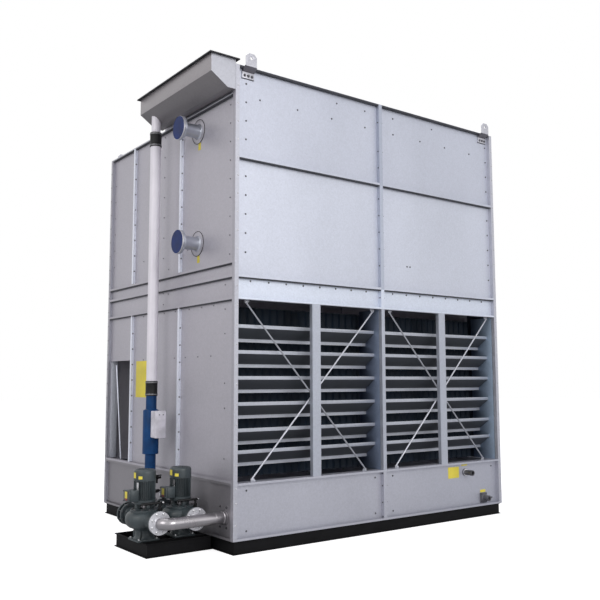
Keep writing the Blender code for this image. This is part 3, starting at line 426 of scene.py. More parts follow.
seal_grey = less_shine(smooth_plastic("grey joint sealant", (0.045, 0.046, 0.055), 0.5, 0.2), 0.25)
tag_yellow = smooth_plastic("yellow plate", (0.76, 0.63, 0.07), 0.5, 0.12)
label_red = smooth_plastic("red label", (0.24, 0.03, 0.03), 0.5, 0.12)

# Finish of each solid that shows as it is
finish_groups = [
    (sheet_front, "front_lower_casing front_upper_casing"),
    (lintel_sheet, "louvre_frame"),
    (basin_sheet, "basin"),
    (sheet_side, "left_middle_panel left_upper_panel right_middle_panel right_upper_panel"),
    (sheet_side, "rear_middle_panel rear_upper_panel coil_curb roof_deck header_hood"),
    (post_zinc, "corner_post_front_left corner_post_front_right corner_post_rear_left corner_post_rear_right"),
    (folded_edge, "brace_left_rising brace_right_rising"),
    (rod_shade, "brace_left_falling brace_right_falling"),
    (frame_black, "base_frame pump_skid"),
    (slat_zinc, "louvre_bank_left louvre_bank_right"),
    (fill_plastic, "fill_pack_left fill_pack_right"),
    (dull_zinc, "coil_bundle fan_ring_left fan_ring_right lifting_lug_front_left lifting_lug_front_right"),
    (dull_zinc, "lifting_lug_rear_left lifting_lug_rear_right"),
    (dark_paint, "impeller_left impeller_right"),
    (white_pipe, "spray_branches riser_pipe"),
    (blue_paint, "descaler"),
    (black_rubber, "coupling_upper coupling_lower"),
    (pump_paint, "pump_body_outer pump_body_inner pump_motor_outer pump_motor_inner"),
    (stainless, "suction_manifold discharge_header"),
    (nozzle_steel, "coil_nozzle_upper coil_nozzle_lower"),
    (lid_paint, "hood_lid"),
    (box_paint, "control_box"),
    (screw_steel, "makeup_fitting drain_fitting"),
]
for finish, members in finish_groups:
    for member in members.split():
        nodes[member].data.materials.clear()
        nodes[member].data.materials.append(finish)


# Screws, nuts and bolts, each turned from profiles and set in a row, a column or a ring
def hardware(name, axis, side, shapes):
    parts = []
    for sides, stations in shapes:
        parts.append(turned(name, origin, axis, [(r, side * reach) for r, reach in stations], sides))
    return joined(name, parts)


def screw(axis, side, size=1.0):
    w, h = 0.0095 * size, 0.0065 * size
    washer = [(w, -0.0005), (w, 0.0012), (w * 0.88, 0.0022)]
    head = [(h, 0.001), (h, 0.0065 * size), (h * 0.8, 0.0078 * size)]
    return hardware("screw", axis, side, [(14, washer), (6, head)])


def nut_end(axis, side):
    nut = [(0.0085, -0.0005), (0.0085, 0.007), (0.007, 0.0082)]
    tail = [(0.0042, 0.006), (0.0042, 0.02), (0.0034, 0.021)]
    return hardware("nut and tail", axis, side, [(6, nut), (10, tail)])


def flange_bolt(axis, side, size, reach):
    head = [(size, 0.0), (size, size), (size * 0.8, size * 1.2)]
    washer = [(size * 1.35, 0.0), (size * 1.35, 0.0025)]
    shank = [(size * 0.5, 0.0), (size * 0.5, -reach)]
    nut = [(size, size * 1.6 - reach), (size, size * 0.6 - reach)]
    return hardware("flange bolt", axis, side, [(6, head), (18, washer), (12, shank), (6, nut)])


def set_screws(name, pattern, places, finish=screw_steel, slot="casing_zinc"):
    return fitted(joined(name, copies(pattern, places)), finish, slot)


def round_places(centre, axis, radius, count):
    across = [way[letter] for letter in "xyz" if letter != axis]
    places = []
    for k in range(count):
        angle = 2.0 * math.pi * (k + 0.5) / count
        places.append(Vector(centre) + across[0] * radius * math.cos(angle) + across[1] * radius * math.sin(angle))
    return places


def levels(top, pitch, lowest):
    found = []
    while top > lowest:
        found.append(top)
        top -= pitch
    return found


sheet_y = front + front_rib
upper_levels = levels(4.346, 0.181, 3.66) + levels(3.447, 0.181, 2.66)
bays = [left + 0.301, left + 0.751, left + 1.189, 0.64, 1.04, right - 0.368]
lintel_row = [start + 0.205 * k for start in (left + 0.2, 0.18) for k in range(8)]
spots = grid((left + 0.143, right - 0.078), sheet_y, upper_levels)
spots += grid((-0.187, 0.223), sheet_y, (4.398, 4.218)) + grid(bays, sheet_y, 4.22)
spots += grid((left + 1.258, right - 1.0), sheet_y, 4.398) + grid((left + 2.235, left + 2.28), sheet_y, 2.769)
spots += grid(lintel_row, sheet_y, 2.455)
for z in (0.547, 0.19):
    spots += grid((left + 0.166, -0.105, 0.141, right - 0.128), sheet_y, z)
set_screws("front_panel_screws", screw("y", -1), spots)

post_levels = levels(4.294, 0.1725, 2.68) + levels(2.4, 0.18, 0.66) + [0.577, 0.446, 0.255]
spots = grid((left + 0.03, right - 0.015), front, post_levels)
set_screws("front_post_screws", screw("y", -1, 0.8), spots, bright_steel)

wall_columns = [(0.135, levels(4.143, 0.1795, 2.66)), (0.21, [2.427, 2.198, 1.969, 1.511, 1.282, 0.824])]
wall_columns += [(1.49, levels(4.174, 0.222, 2.66)), (width - 0.09, levels(3.9, 0.2, 2.7))]
wall_columns += [(1.365, [2.707, 2.446]), (1.478, [2.461, 2.344])]
wall_columns += [(y, [1.768]) for y in (0.464, 0.716, 0.972, 1.209, 1.7, 1.94)]
wall_columns += [(y, [2.247]) for y in (0.42, 0.65, 0.902, 1.2, 1.45, 1.7, 1.95)]
wall_columns += [(0.952, [2.857]), (1.972, [2.869])]
seam_levels = levels(4.037, 0.179, 2.68) + levels(2.07, 0.174, 0.72)
near_far = (near_rib, far_rib)
for name, outer, side in (("left", left, -1), ("right", right, 1)):
    spots = [(outer - side * side_rib, front + y, z) for y, column in wall_columns for z in column]
    set_screws(name + "_wall_screws", screw("x", side, 0.8), spots, wall_screw, "side_zinc")
    spots = grid(outer, back - 0.022, levels(4.06, 0.17, 0.4))
    set_screws(name + "_post_screws", screw("x", side, 0.8), spots, wall_screw, "side_zinc")

rear_columns = [(left + 0.14, levels(4.1, 0.18, 2.66)), (right - 0.14, levels(4.1, 0.18, 2.66))]
rear_columns += [(left + 0.21, levels(2.2, 0.229, 0.7)), (right - 0.21, levels(2.2, 0.229, 0.7))]
rear_columns += [(left + 0.3 + 0.275 * k, [2.247]) for k in range(12)]
rear_columns += [(left + 0.3 + 0.275 * k, [4.19]) for k in range(12)]
spots = [(x, back - side_rib, z) for x, column in rear_columns for z in column]
set_screws("rear_wall_screws", screw("y", 1, 0.8), spots, wall_screw, "side_zinc")

# Through bolts of the standing seams
bolt_out = 0.016
for name, x in (("left", left + 0.014), ("right", right - 0.014)):
    spots = grid(x, [rib - bolt_out for rib in near_far], seam_levels)
    set_screws(name + "_seam_bolts", screw("y", -1, 0.9), spots, wall_screw, "side_zinc")
    spots = grid(x, [rib + bolt_out for rib in near_far], seam_levels)
    set_screws(name + "_seam_nuts", nut_end("y", 1), spots, wall_screw, "side_zinc")
mid_levels = [4.3, 3.98, 3.8, 3.46, 3.28, 3.1, 2.92, 2.74, 2.4, 0.585, 0.461, 0.293, 0.152]
set_screws("front_seam_bolts", screw("x", -1, 0.9), grid(-0.0225, front + 0.02, mid_levels))
set_screws("front_seam_nuts", nut_end("x", 1), grid(0.0225, front + 0.02, mid_levels))
rear_ribs = (-length / 6.0, length / 6.0)
spots = grid([x - bolt_out for x in rear_ribs], back - 0.014, seam_levels)
set_screws("rear_seam_bolts", screw("x", -1, 0.9), spots, slot="side_zinc")
spots = grid([x + bolt_out for x in rear_ribs], back - 0.014, seam_levels)
set_screws("rear_seam_nuts", nut_end("x", 1), spots, slot="side_zinc")

# Coil nozzles: wall ring, pipe, welded flange, gasket and blank disc
for label, z in (("upper", 4.043), ("lower", 2.893)):
    name = "coil_nozzle_" + label
    centre = (left, nozzle_y, z)
    stations = [(0.072, 0.0298), (0.08, 0.0294), (0.078, 0.0262), (0.07, 0.02), (0.067, 0.012), (0.067, -0.148),
                (0.07, -0.153), (0.076, -0.1562), (0.116, -0.1564), (0.119, -0.1585), (0.119, -0.174),
                (0.117, -0.176), (0.06, -0.1762)]
    fitted(turned(name + "_pipe", centre, "x", stations, 72), nozzle_steel, "pipe_steel", name)
    ring = [(0.0805, 0.0298), (0.1215, 0.0298), (0.1215, 0.0276), (0.1195, 0.0264), (0.0805, 0.0262)]
    fitted(turned(name + "_plate", centre, "x", ring, 72, ring=True), sheet_side, "side_zinc")
    ring = [(0.1222, 0.0298), (0.1268, 0.0298), (0.127, 0.0262), (0.1256, 0.025), (0.1234, 0.025), (0.1222, 0.0262)]
    fitted(turned(name + "_seal", centre, "x", ring, 72, ring=True), black_rubber, "coupling_rubber")
    gasket = turned(name + "_gasket", centre, "x", [(0.107, -0.1761), (0.107, -0.1805)], 64)
    fitted(gasket, black_rubber, "coupling_rubber")
    stations = [(0.1165, -0.1802), (0.1165, -0.1985), (0.115, -0.1998), (0.1085, -0.2)]
    fitted(turned(name + "_blank", centre, "x", stations, 72), blank_blue, "pipe_blue")
    ring = [(0.1166, -0.1804), (0.118, -0.1804), (0.119, -0.1815), (0.119, -0.196), (0.118, -0.1972),
            (0.1166, -0.1972)]
    fitted(turned(name + "_rim", centre, "x", ring, 72, ring=True), flange_steel, "pipe_steel")
    places = round_places((left - 0.157, nozzle_y, z), "x", 0.096, 8)
    set_screws(name + "_bolts", flange_bolt("x", 1, 0.008, 0.02), places, bright_steel, "pipe_steel")

# Riser pipe with a socket, couplings with band clamps, and the blue descaler
slope_z = hood_low + (0.155 - hood_floor_out) / (hood_out - hood_floor_out) * (hood_knee - hood_low)
stations = [(0.053, 1.4603), (0.0545, 1.462), (0.0545, 4.128), (0.053, 4.132), (0.047, 4.134),
            (0.047, slope_z + 0.031)]
fitted(turned("riser_pipe_smooth", riser, "z", stations, 64), white_pipe, "pipe_white", "riser_pipe")
for label, low, high in (("upper", 3.998, 4.15), ("lower", 1.384, 1.535)):
    name = "coupling_" + label
    stations = [(0.0549, low), (0.06, low), (0.0616, low + 0.002), (0.0616, low + 0.026), (0.0603, low + 0.03)]
    stations += [(0.0603, high - 0.03), (0.0616, high - 0.026), (0.0616, high - 0.002), (0.06, high), (0.0549, high)]
    fitted(turned(name + "_sleeve", riser, "z", stations, 64), black_rubber, "coupling_rubber", name)
    bands = []
    for z in (low + 0.015, high - 0.015):
        bands.append(turned("band", riser, "z", [
            (0.0614, z - 0.0065), (0.0628, z - 0.0065), (0.0634, z - 0.005), (0.0634, z + 0.005),
            (0.0628, z + 0.0065), (0.0614, z + 0.0065)], 64))
        bands.append(turned("worm", (riser.x + 0.01, riser.y - 0.069, z), "x", [
            (0.005, -0.014), (0.0062, -0.012), (0.0062, 0.01), (0.004, 0.012)], 14))
        bands.append(block("worm_seat", (riser.x - 0.008, riser.y - 0.0725, z - 0.0062),
                           (riser.x + 0.02, riser.y - 0.061, z + 0.0062), 0.0012))
    fitted(joined(name + "_clamps", bands), band_steel, "pipe_steel")
stations = [(0.0545, 0.4303), (0.0545, 0.7995), (0.078, 0.8), (0.0808, 0.8025), (0.081, 0.805), (0.081, 1.232)]
stations += [(0.076, 1.242), (0.058, 1.248), (0.0545, 1.254), (0.0545, 1.459), (0.053, 1.46)]
fitted(turned("descaler_body", riser, "z", stations, 64, angle=28.0), blue_paint, "pipe_blue", "descaler")
cock = turned("drain_cock", (riser.x, riser.y, 0.556), "x", [
    (0.01, 0.05), (0.01, 0.062), (0.017, 0.064), (0.017, 0.092), (0.012, 0.094), (0.012, 0.122), (0.008, 0.124)], 24)
spout = turned("drain_spout", (riser.x + 0.078, riser.y, 0.5), "z", [(0.007, 0.0), (0.01, 0.002), (0.01, 0.045)], 20)
handle = block("drain_handle", (riser.x + 0.058, riser.y - 0.009, 0.572),
               (riser.x + 0.128, riser.y + 0.009, 0.584), 0.003)
fitted(joined("descaler_drain_cock", [cock, spout, handle]), black_rubber, "coupling_rubber")

# Control box: back tray, lid with a shadow gap, signal lamps and cable gland
box_low, box_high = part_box("control_box")
tray = block("control_box_tray", (box_low.x - 0.004, box_low.y + 0.036, box_low.z + 0.003),
             (box_high.x - 0.003, box_high.y, box_high.z - 0.003), 0.01)
gasket = block("control_box_gasket", (box_low.x, box_low.y + 0.03, box_low.z + 0.006),
               (box_high.x - 0.006, box_low.y + 0.038, box_high.z - 0.006), 0.002)
lid = block("control_box_lid", (box_low.x - 0.008, box_low.y, box_low.z),
            (box_high.x, box_low.y + 0.034, box_high.z), 0.01)
fitted(joined("control_box_case", [tray, lid]), box_paint, "box_grey", "control_box")
fitted(gasket, fitting_grey, "box_grey")
lamps = []
for u in (0.034, 0.076):
    lamps.append(turned("signal_lamp", (box_low.x + u, box_low.y, box_high.z - 0.04), "y", [
        (0.006, 0.001), (0.006, -0.004), (0.004, -0.006)], 16))
fitted(joined("control_box_lamps", lamps), fitting_grey, "box_grey")
gland = turned("control_box_gland", (box_high.x, box_low.y + 0.07, box_low.z + 0.18), "x",
               [(0.015, -0.002), (0.015, 0.008), (0.012, 0.01), (0.012, 0.018), (0.008, 0.024), (0.006, 0.025)], 24)
fitted(gland, black_rubber, "coupling_rubber")


# Pumps: cast volute on its foot, open lantern and finned motor
def curved_plate(name, centre, radius, middle, half_arc, low, high, thickness=0.0014):
    start = math.radians(middle - half_arc)
    spot = Vector(centre) + Vector((math.cos(start), math.sin(start), 0.0)) * (radius + thickness / 2.0)
    spot.z = (low + high) / 2.0
    bpy.ops.mesh.primitive_plane_add(
        size=1.0, location=spot, rotation=(math.pi / 2.0, 0.0, start), scale=(thickness, high - low, 1.0))
    piece = added(name)
    piece.scale = (thickness, high - low, 1.0)
    edit(settle(piece))
    bpy.ops.mesh.spin(steps=8, angle=math.radians(-2.0 * half_arc), center=centre, axis=way["z"])
    close_mesh()
    return smooth(settle(piece))


for label, x in (("outer", outer_pump), ("inner", inner_pump)):
    axis_spot = (x, pump_y, 0.0)
    branch_spot = (x, pump_y, pipe_z)
    foot = block("pump_foot", (x - 0.105, pump_y - 0.105, 0.1183), (x + 0.105, pump_y + 0.105, 0.136), 0.004)
    stations = [(0.096, 0.134), (0.09, 0.142), (0.08, 0.156), (0.078, 0.19), (0.084, 0.212), (0.104, 0.226)]
    stations += [(0.13, 0.236), (0.151, 0.252), (0.164, 0.275), (0.168, 0.305), (0.164, 0.335), (0.151, 0.357)]
    stations += [(0.134, 0.368), (0.126, 0.371), (0.126, 0.384), (0.122, 0.388), (0.094, 0.3885), (0.088, 0.391)]
    stations += [(0.086, 0.394), (0.04, 0.395)]
    volute = turned("pump_volute", axis_spot, "z", stations, 64)
    stations = [(0.08, -0.2999), (0.099, -0.2998), (0.101, -0.298), (0.101, -0.282), (0.098, -0.28), (0.066, -0.279)]
    stations += [(0.057, -0.271), (0.0525, -0.245), (0.055, -0.205), (0.068, -0.16), (0.084, -0.11)]
    branch = turned("pump_branch", branch_spot, "y", stations + [(r, -y) for r, y in reversed(stations)], 56)
    web = block("pump_web", (0.052, -0.017, 0.386), (0.0872, 0.017, 0.44), 0.005)
    webs = ringed(web, axis_spot, (0, 90, 180, 270))
    stations = [(0.08, 0.434), (0.088, 0.4355), (0.094, 0.438), (0.0975, 0.4405), (0.099, 0.443), (0.099, 0.453)]
    adapter = turned("pump_adapter", axis_spot, "z", stations + [(0.0975, 0.4546)], 56)
    rib = block("pump_rib", (0.076, -0.006, 0.134), (0.1, 0.006, 0.205), 0.003)
    ribs = ringed(rib, axis_spot, (45, 135, 225, 315))
    whole = joined("pump_body_" + label + "_casting", [volute, foot, branch, adapter] + webs + ribs)
    fitted(whole, pump_paint, "pump_green", "pump_body_" + label)
    vent = turned("vent_body", (x + 0.105, pump_y - 0.1, 0.0), "z", [
        (0.012, 0.358), (0.016, 0.364), (0.016, 0.404), (0.01, 0.408), (0.01, 0.44), (0.014, 0.442),
        (0.014, 0.452)], 24)
    arm_spot = (x, pump_y - 0.1, 0.445)
    stations = [(0.008, -0.078), (0.0105, -0.074), (0.0105, 0.1), (0.008, 0.128)]
    arm = turned("vent_arm", arm_spot, "x", stations, 20)
    fitted(joined("pump_vent_" + label, [vent, arm]), black_rubber, "coupling_rubber")
    stations = [(0.0085, 0.126), (0.011, 0.128), (0.011, 0.14), (0.007, 0.143)]
    fitted(turned("pump_vent_tip_" + label, arm_spot, "x", stations, 20), bright_steel, "pipe_steel")
    stations = [(0.016, 0.394), (0.016, 0.402), (0.028, 0.404), (0.028, 0.424), (0.016, 0.426), (0.016, 0.436)]
    fitted(turned("pump_spindle_" + label, axis_spot, "z", stations, 32), stainless, "pipe_steel")
    places = round_places((x, pump_y, 0.388), "z", 0.109, 10)
    set_screws("pump_cover_bolts_" + label, flange_bolt("z", 1, 0.0075, 0.012), places, screw_steel, "pump_green")
    places = [(x + i * 0.086, pump_y + j * 0.086, 0.136) for i in (-1, 1) for j in (-1, 1)]
    set_screws("pump_foot_bolts_" + label, flange_bolt("z", 1, 0.009, 0.012), places, bright_steel, "pump_green")

    stations = [(0.097, 0.4553), (0.099, 0.457), (0.099, 0.468), (0.096, 0.471), (0.089, 0.476), (0.084, 0.482)]
    stations += [(0.084, 0.636), (0.088, 0.642), (0.096, 0.646), (0.096, 0.65)]
    shell = turned("motor_shell", axis_spot, "z", stations, 64)
    stations = [(0.097, 0.64), (0.0995, 0.641), (0.1, 0.645), (0.1, 0.712), (0.0985, 0.724), (0.0935, 0.734)]
    stations += [(0.084, 0.7395), (0.07, 0.7415), (0.066, 0.7395), (0.03, 0.739)]
    cowl = turned("motor_cowl", axis_spot, "z", stations, 64)
    fin = block("motor_fin", (0.081, -0.0017, 0.474), (0.0978, 0.0017, 0.645), 0.0012)
    fins = ringed(fin, axis_spot, [a for a in range(0, 360, 10) if not 163 < a < 197])
    motor = joined("motor_" + label + "_shell", [shell, cowl] + fins)
    fitted(motor, pump_paint, "pump_green", "pump_motor_" + label)
    case = block("terminal_case", (x - 0.158, pump_y - 0.058, 0.466), (x - 0.08, pump_y + 0.058, 0.566), 0.006)
    cover = block("terminal_cover", (x - 0.178, pump_y - 0.06, 0.4665), (x - 0.155, pump_y + 0.06, 0.569), 0.006)
    knob = turned("terminal_boss", (x, pump_y + 0.058, 0.5), "y", [
        (0.017, 0.0), (0.017, 0.01), (0.013, 0.012), (0.013, 0.026), (0.008, 0.03)], 24)
    knob.location.x -= 0.12
    fitted(joined("terminal_box_" + label, [case, cover, knob]), pump_paint, "pump_green")
    places = [(x - 0.178, pump_y + i * 0.05, z) for i in (-1, 1) for z in (0.476, 0.559)]
    set_screws("terminal_screws_" + label, screw("x", -1, 0.7), places, screw_steel, "pump_green")
    plate_out = pump_y - 0.024, pump_y + 0.024
    for name, finish, low, high in (("plate", tag_yellow, 0.498, 0.556), ("label", label_red, 0.48, 0.4975)):
        plate = block("terminal_" + name + "_" + label, (x - 0.1795, plate_out[0], low),
                      (x - 0.1775, plate_out[1], high), 0.0006)
        fitted(plate, finish, "pump_green")
    plate = curved_plate("cowl_plate_" + label, axis_spot, 0.0999, 182.0, 11.0, 0.668, 0.717)
    oval = curved_plate("cowl_oval_" + label, axis_spot, 0.0999, 222.0, 10.5, 0.661, 0.687)
    fitted(joined("cowl_plates_" + label, [plate, oval]), tag_yellow, "pump_green")
    plate = curved_plate("motor_plate_" + label, axis_spot, 0.098, 206.0, 6.0, 0.56, 0.632)
    fitted(plate, bright_steel, "pump_green")
    grille = []
    for radius in (0.024, 0.036, 0.048, 0.06):
        stations = [(radius, 0.7385), (radius, 0.741), (radius + 0.0035, 0.741), (radius + 0.0035, 0.7385)]
        grille.append(turned("grille_ring", axis_spot, "z", stations, 48, ring=True))
    fitted(joined("motor_grille_" + label, grille), pump_paint, "pump_green")


# Flanges and bolts of the two pump pipes
def pump_flanges(name, whole_name, y, side, neck, finish, bolt_ring, bolt, bolt_finish):
    stations = [(0.099, 0.0002), (0.101, 0.002), (0.101, 0.018), (0.099, 0.02), (0.062, 0.0205)] + neck
    stations = [(r, side * reach) for r, reach in stations]
    rings, places = [], []
    for x in (outer_pump, inner_pump):
        rings.append(turned(name + "_flange", (x, y, pipe_z), "y", stations, 64))
        places += round_places((x, y + side * 0.02, pipe_z), "y", bolt_ring, 8)
    fitted(joined(whole_name + "_flanges", rings), finish, "pipe_steel")
    set_screws(name + "_flange_bolts", bolt, places, bolt_finish, "pipe_steel")


# Suction manifold: bend, run, branch, collar and welds
flange_y = pump_y - pump_reach - 0.0003
run_y = front + 0.185
wall_x = left + side_rib
moves = [(flange_y - 0.004 - run_y - bend, None), (bend, way["x"]), (wall_x - outer_pump - bend - 0.0005, None)]
pipe = piped("suction_pipe", (outer_pump, flange_y - 0.004, pipe_z), (0.0, -1.0, 0.0), pipe_radius, moves, 56)
stations = [(0.0495, 0.01), (0.0495, flange_y - 0.004 - run_y)]
parts = [pipe, turned("suction_branch", (inner_pump, run_y, pipe_z), "y", stations, 56)]
stations = [(0.053, -0.034), (0.058, -0.03), (0.06, -0.012), (0.065, -0.0115), (0.066, -0.01), (0.066, -0.0003)]
parts.append(turned("suction_collar", (wall_x, run_y, pipe_z), "x", stations, 64))
for x in (outer_pump + bend, outer_pump + 0.21, left - 0.08):
    stations = [(0.0518, -0.004), (0.0534, -0.0025), (0.054, 0.0), (0.0534, 0.0025), (0.0518, 0.004)]
    parts.append(turned("weld", (x, run_y, pipe_z), "x", stations, 56))
fitted(joined("suction_manifold_pipe", parts), stainless, "pipe_steel", "suction_manifold")
bolt = flange_bolt("y", -1, 0.0095, 0.04)
pump_flanges("suction", "suction_manifold", flange_y, -1, [(0.057, 0.026), (0.053, 0.03)], flange_steel,
             0.081, bolt, bright_steel)
places = grid(wall_x, (run_y - 0.025, run_y + 0.085), (pipe_z - 0.09, pipe_z + 0.09))
set_screws("suction_wall_bolts", flange_bolt("x", -1, 0.0085, 0.01), places, screw_steel, "pipe_steel")

# Discharge header: lever valves, two bends, branch and ball tee with its flange
valve_y = pump_y + pump_reach + 0.0003
pipe_y = valve_y + 0.05
header_y = pipe_y + 0.02 + 0.004 + bend
moves = [(header_y - bend - pipe_y, None), (bend, way["x"]), (riser.x - outer_pump - 2.0 * bend, None)]
moves += [(bend, way["y"]), (riser.y - 0.05 - header_y - bend, None)]
pipe = piped("discharge_pipe", (outer_pump, pipe_y, pipe_z), (0.0, 1.0, 0.0), pipe_radius, moves, 56)
stations = [(0.0505, 0.0), (0.0505, header_y - pipe_y)]
branch = turned("discharge_branch", (inner_pump, pipe_y, pipe_z), "y", stations, 56)
stations = []
for k in range(15):
    lean = math.radians(-75.0 + 125.0 * k / 14.0)
    stations.append((0.085 * math.cos(lean), pipe_z + 0.085 * math.sin(lean)))
stations += [(0.056, 0.404), (0.06, 0.41), (0.083, 0.4118), (0.085, 0.414), (0.085, 0.4285), (0.0835, 0.43)]
tee = turned("discharge_tee", riser, "z", stations, 56)
parts = [pipe, branch, tee]
fitted(joined("discharge_header_pipe", parts), stainless, "pipe_steel", "discharge_header")
bolt = flange_bolt("y", 1, 0.0085, 0.108)
pump_flanges("discharge", "discharge_header", pipe_y, 1, [(0.057, 0.023), (0.053, 0.024)], pump_paint,
             0.091, bolt, screw_steel)
places = round_places((riser.x, riser.y, 0.43), "z", 0.07, 8)
set_screws("riser_foot_bolts", flange_bolt("z", 1, 0.007, 0.024), places, bright_steel, "pipe_steel")
for label, x, turn in (("outer", outer_pump, -90.0), ("inner", inner_pump, 90.0)):
    y = valve_y + 0.025
    stations = [(0.082, 0.0004), (0.085, 0.003), (0.085, 0.047), (0.082, 0.0496)]
    body = turned("valve_body", (x, valve_y, pipe_z), "y", stations, 56)
    stem = turned("valve_stem", (x, y, 0.0), "z", [(0.022, 0.385), (0.022, 0.45), (0.014, 0.453), (0.014, 0.505)], 28)
    cap = block("valve_plate", (x - 0.036, y - 0.036, 0.432), (x + 0.036, y + 0.036, 0.462), 0.004)
    fitted(cap, flange_steel, "pipe_steel")
    arm = block("valve_arm", (-0.014, -0.026, -0.006), (0.014, 0.06, 0.006), 0.003)
    grip = block("valve_grip", (-0.013, 0.0, -0.014), (0.013, 0.17, 0.014), 0.009)
    grip.rotation_euler.x = math.radians(-3.0)
    grip.location = (0.0, 0.05, 0.0)
    lever = joined("valve_lever", [arm, settle(grip)])
    lever.rotation_euler.z = math.radians(turn)
    lever.location = (x, y, 0.492)
    fitted(joined("valve_" + label, [body, stem, settle(lever)]), black_rubber, "coupling_rubber")


# Louvres: folded slats between side plates, one bank to each side of the middle post
def folded_strip(name, x0, x1, spot, folds, thickness=0.002):
    first = Vector((0.0, *folds[0]))
    start = Vector(((x0 + x1) / 2.0, *spot)) + first / 2.0
    lean = math.atan2(first.z, first.y)
    bpy.ops.mesh.primitive_plane_add(size=1.0, location=start, rotation=(lean, 0.0, 0.0))
    piece = added(name)
    piece.scale = (x1 - x0, first.length, 1.0)
    settle(piece)
    end = Vector((0.0, *spot)) + first
    for y, z in folds[1:]:
        mesh = piece.data
        take(piece)
        for corner in mesh.vertices:
            corner.select = abs(corner.co.y - end.y) < same_place and abs(corner.co.z - end.z) < same_place
        for edge in mesh.edges:
            edge.select = all(mesh.vertices[k].select for k in edge.vertices)
        for face in mesh.polygons:
            face.select = False
        bpy.ops.object.mode_set(mode="EDIT")
        bpy.ops.mesh.select_mode(type="EDGE")
        bpy.ops.mesh.extrude_region_move(TRANSFORM_OT_translate={"value": (0.0, y, z)})
        close_faces()
        end = end + Vector((0.0, y, z))
    reshape(piece, "SOLIDIFY", thickness=thickness, offset=0.0)
    return smooth(soften(piece, thickness * 0.3, 1, 50.0))


slat_tops = [lintel_bottom - 0.253 - 0.23975 * k for k in range(5)]
slat_tops.append(slat_tops[-1] - 0.197)
slat_places = grid(0.0, 0.0, slat_tops)
for label, x0, x1 in (("left", left + 0.0446, -0.0228), ("right", 0.0228, right - 0.0446)):
    bank = "louvre_bank_" + label
    ends = (x0 + 0.002, x1 - 0.002)
    face = folded_strip("slat_face", *ends, (front + 0.121, 0.0), [(0.138, -0.094)])
    fitted(joined("louvre_faces_" + label, copies(face, slat_places)), slat_shade, "slat_metal", bank)
    upper = folded_strip("slat_lip", *ends, (front + 0.121, 0.032), [(0.0, -0.032), (0.004, -0.0027)])
    lower = folded_strip("slat_lip", *ends, (front + 0.255, -0.0913), [(0.004, -0.0027), (0.0, -0.032)])
    lips = copies(upper, slat_places) + copies(lower, slat_places)
    fitted(joined("louvre_lips_" + label, lips), slat_zinc, "slat_metal", bank)
    plates = []
    for x in (x0, x1 - 0.002):
        plates.append(block("louvre_plate", (x, front + 0.045, 0.6215), (x + 0.002, front + 0.36, 2.2765), 0.0006))
    fitted(joined("louvre_plates_" + label, plates), plate_zinc, "slat_metal", bank)


# Dark sealing strips under the flanges of the casing joints, which also stand in for the painted shadow under each
# flange
def seal(x0, x1, y0, y1, low, high):
    seals.append(block("seal", (x0, y0, low), (x1, y1, high), 0.0015))


def spans_between(start, ribs, end):
    edges = [start] + [rib + side * seam_half for rib in ribs for side in (-1, 1)] + [end]
    return list(zip(edges[::2], edges[1::2]))


seals = []
deep = (front + post_wide, back - post_wide)
across = (left + post_wide, right - post_wide)
for z in (2.4838, 3.6068, 4.4978):
    low = z - 0.017 if z > 4.0 else z - 0.011
    seal(across[0], -0.024, front + 0.0015, front + 0.041, low, z)
    seal(0.024, across[1], front + 0.0015, front + 0.041, low, z)
for x0, x1 in ((left + 0.0015, left + 0.029), (right - 0.029, right - 0.0015)):
    for z in (2.2768, 2.4838, 2.6148):
        for y0, y1 in spans_between(deep[0], near_far if z < 2.3 else (), deep[1]):
            seal(x0, x1, y0, y1, z - 0.011, z)
for z in (2.2768, 2.4838, 2.6148):
    for x0, x1 in spans_between(across[0], rear_ribs if z < 2.3 else (), across[1]):
        seal(x0, x1, back - 0.029, back - 0.0015, z - 0.011, z)
for x0, x1 in ((left + 0.001, left + 0.029), (right - 0.029, right - 0.001)):
    seal(x0, x1, *deep, 4.209, 4.2195)
seal(*across, back - 0.029, back - 0.001, 4.209, 4.2195)
fitted(joined("casing_joint_seals", seals), seal_grey, "coupling_rubber")
# Strips along the top flange edges of the walls: the real flange edge, made taller and in the lit zinc as a painted
# highlight.
heads = []
for x0, x1 in ((left - 0.0012, left - 0.0002), (right + 0.0002, right + 0.0012)):
    heads.append(block("wall_head", (x0, deep[0], 4.22), (x1, deep[1], 4.229)))
heads.append(block("wall_head", (across[0], back + 0.0002, 4.22), (across[1], back + 0.0012, 4.229)))
fitted(joined("wall_head_edges", heads), folded_edge, "casing_zinc")


# Folded caps over the standing seams
def folded_cap(low, high, open_side, thickness=0.001):
    piece = block("seam_cap", low, high)
    open_faces(piece, open_side)
    bpy.ops.mesh.delete(type="FACE")
    close_faces()
    reshape(piece, "SOLIDIFY", thickness=thickness, offset=1.0)
    return smooth(soften(piece, thickness * 0.8, 2, 50.0))


cap_half = 0.0153
rib_levels = ((0.646, 2.262), (2.64, 4.222))
for label, x0, x1, side in (("left", left - 0.0002, left + 0.0295, 1), ("right", right - 0.0295, right + 0.0002, -1)):
    caps = []
    for rib in near_far:
        for low, high in rib_levels:
            caps.append(folded_cap((x0, rib - cap_half, low), (x1, rib + cap_half, high), (side, 0, 0)))
    fitted(joined(label + "_seam_caps", caps), seam_edge, "casing_zinc")
caps = []
for x in rear_ribs:
    for low, high in rib_levels:
        caps.append(folded_cap((x - cap_half, back - 0.0295, low), (x + cap_half, back + 0.0002, high), (0, -1, 0)))
fitted(joined("rear_seam_caps", caps), seam_edge, "casing_zinc")

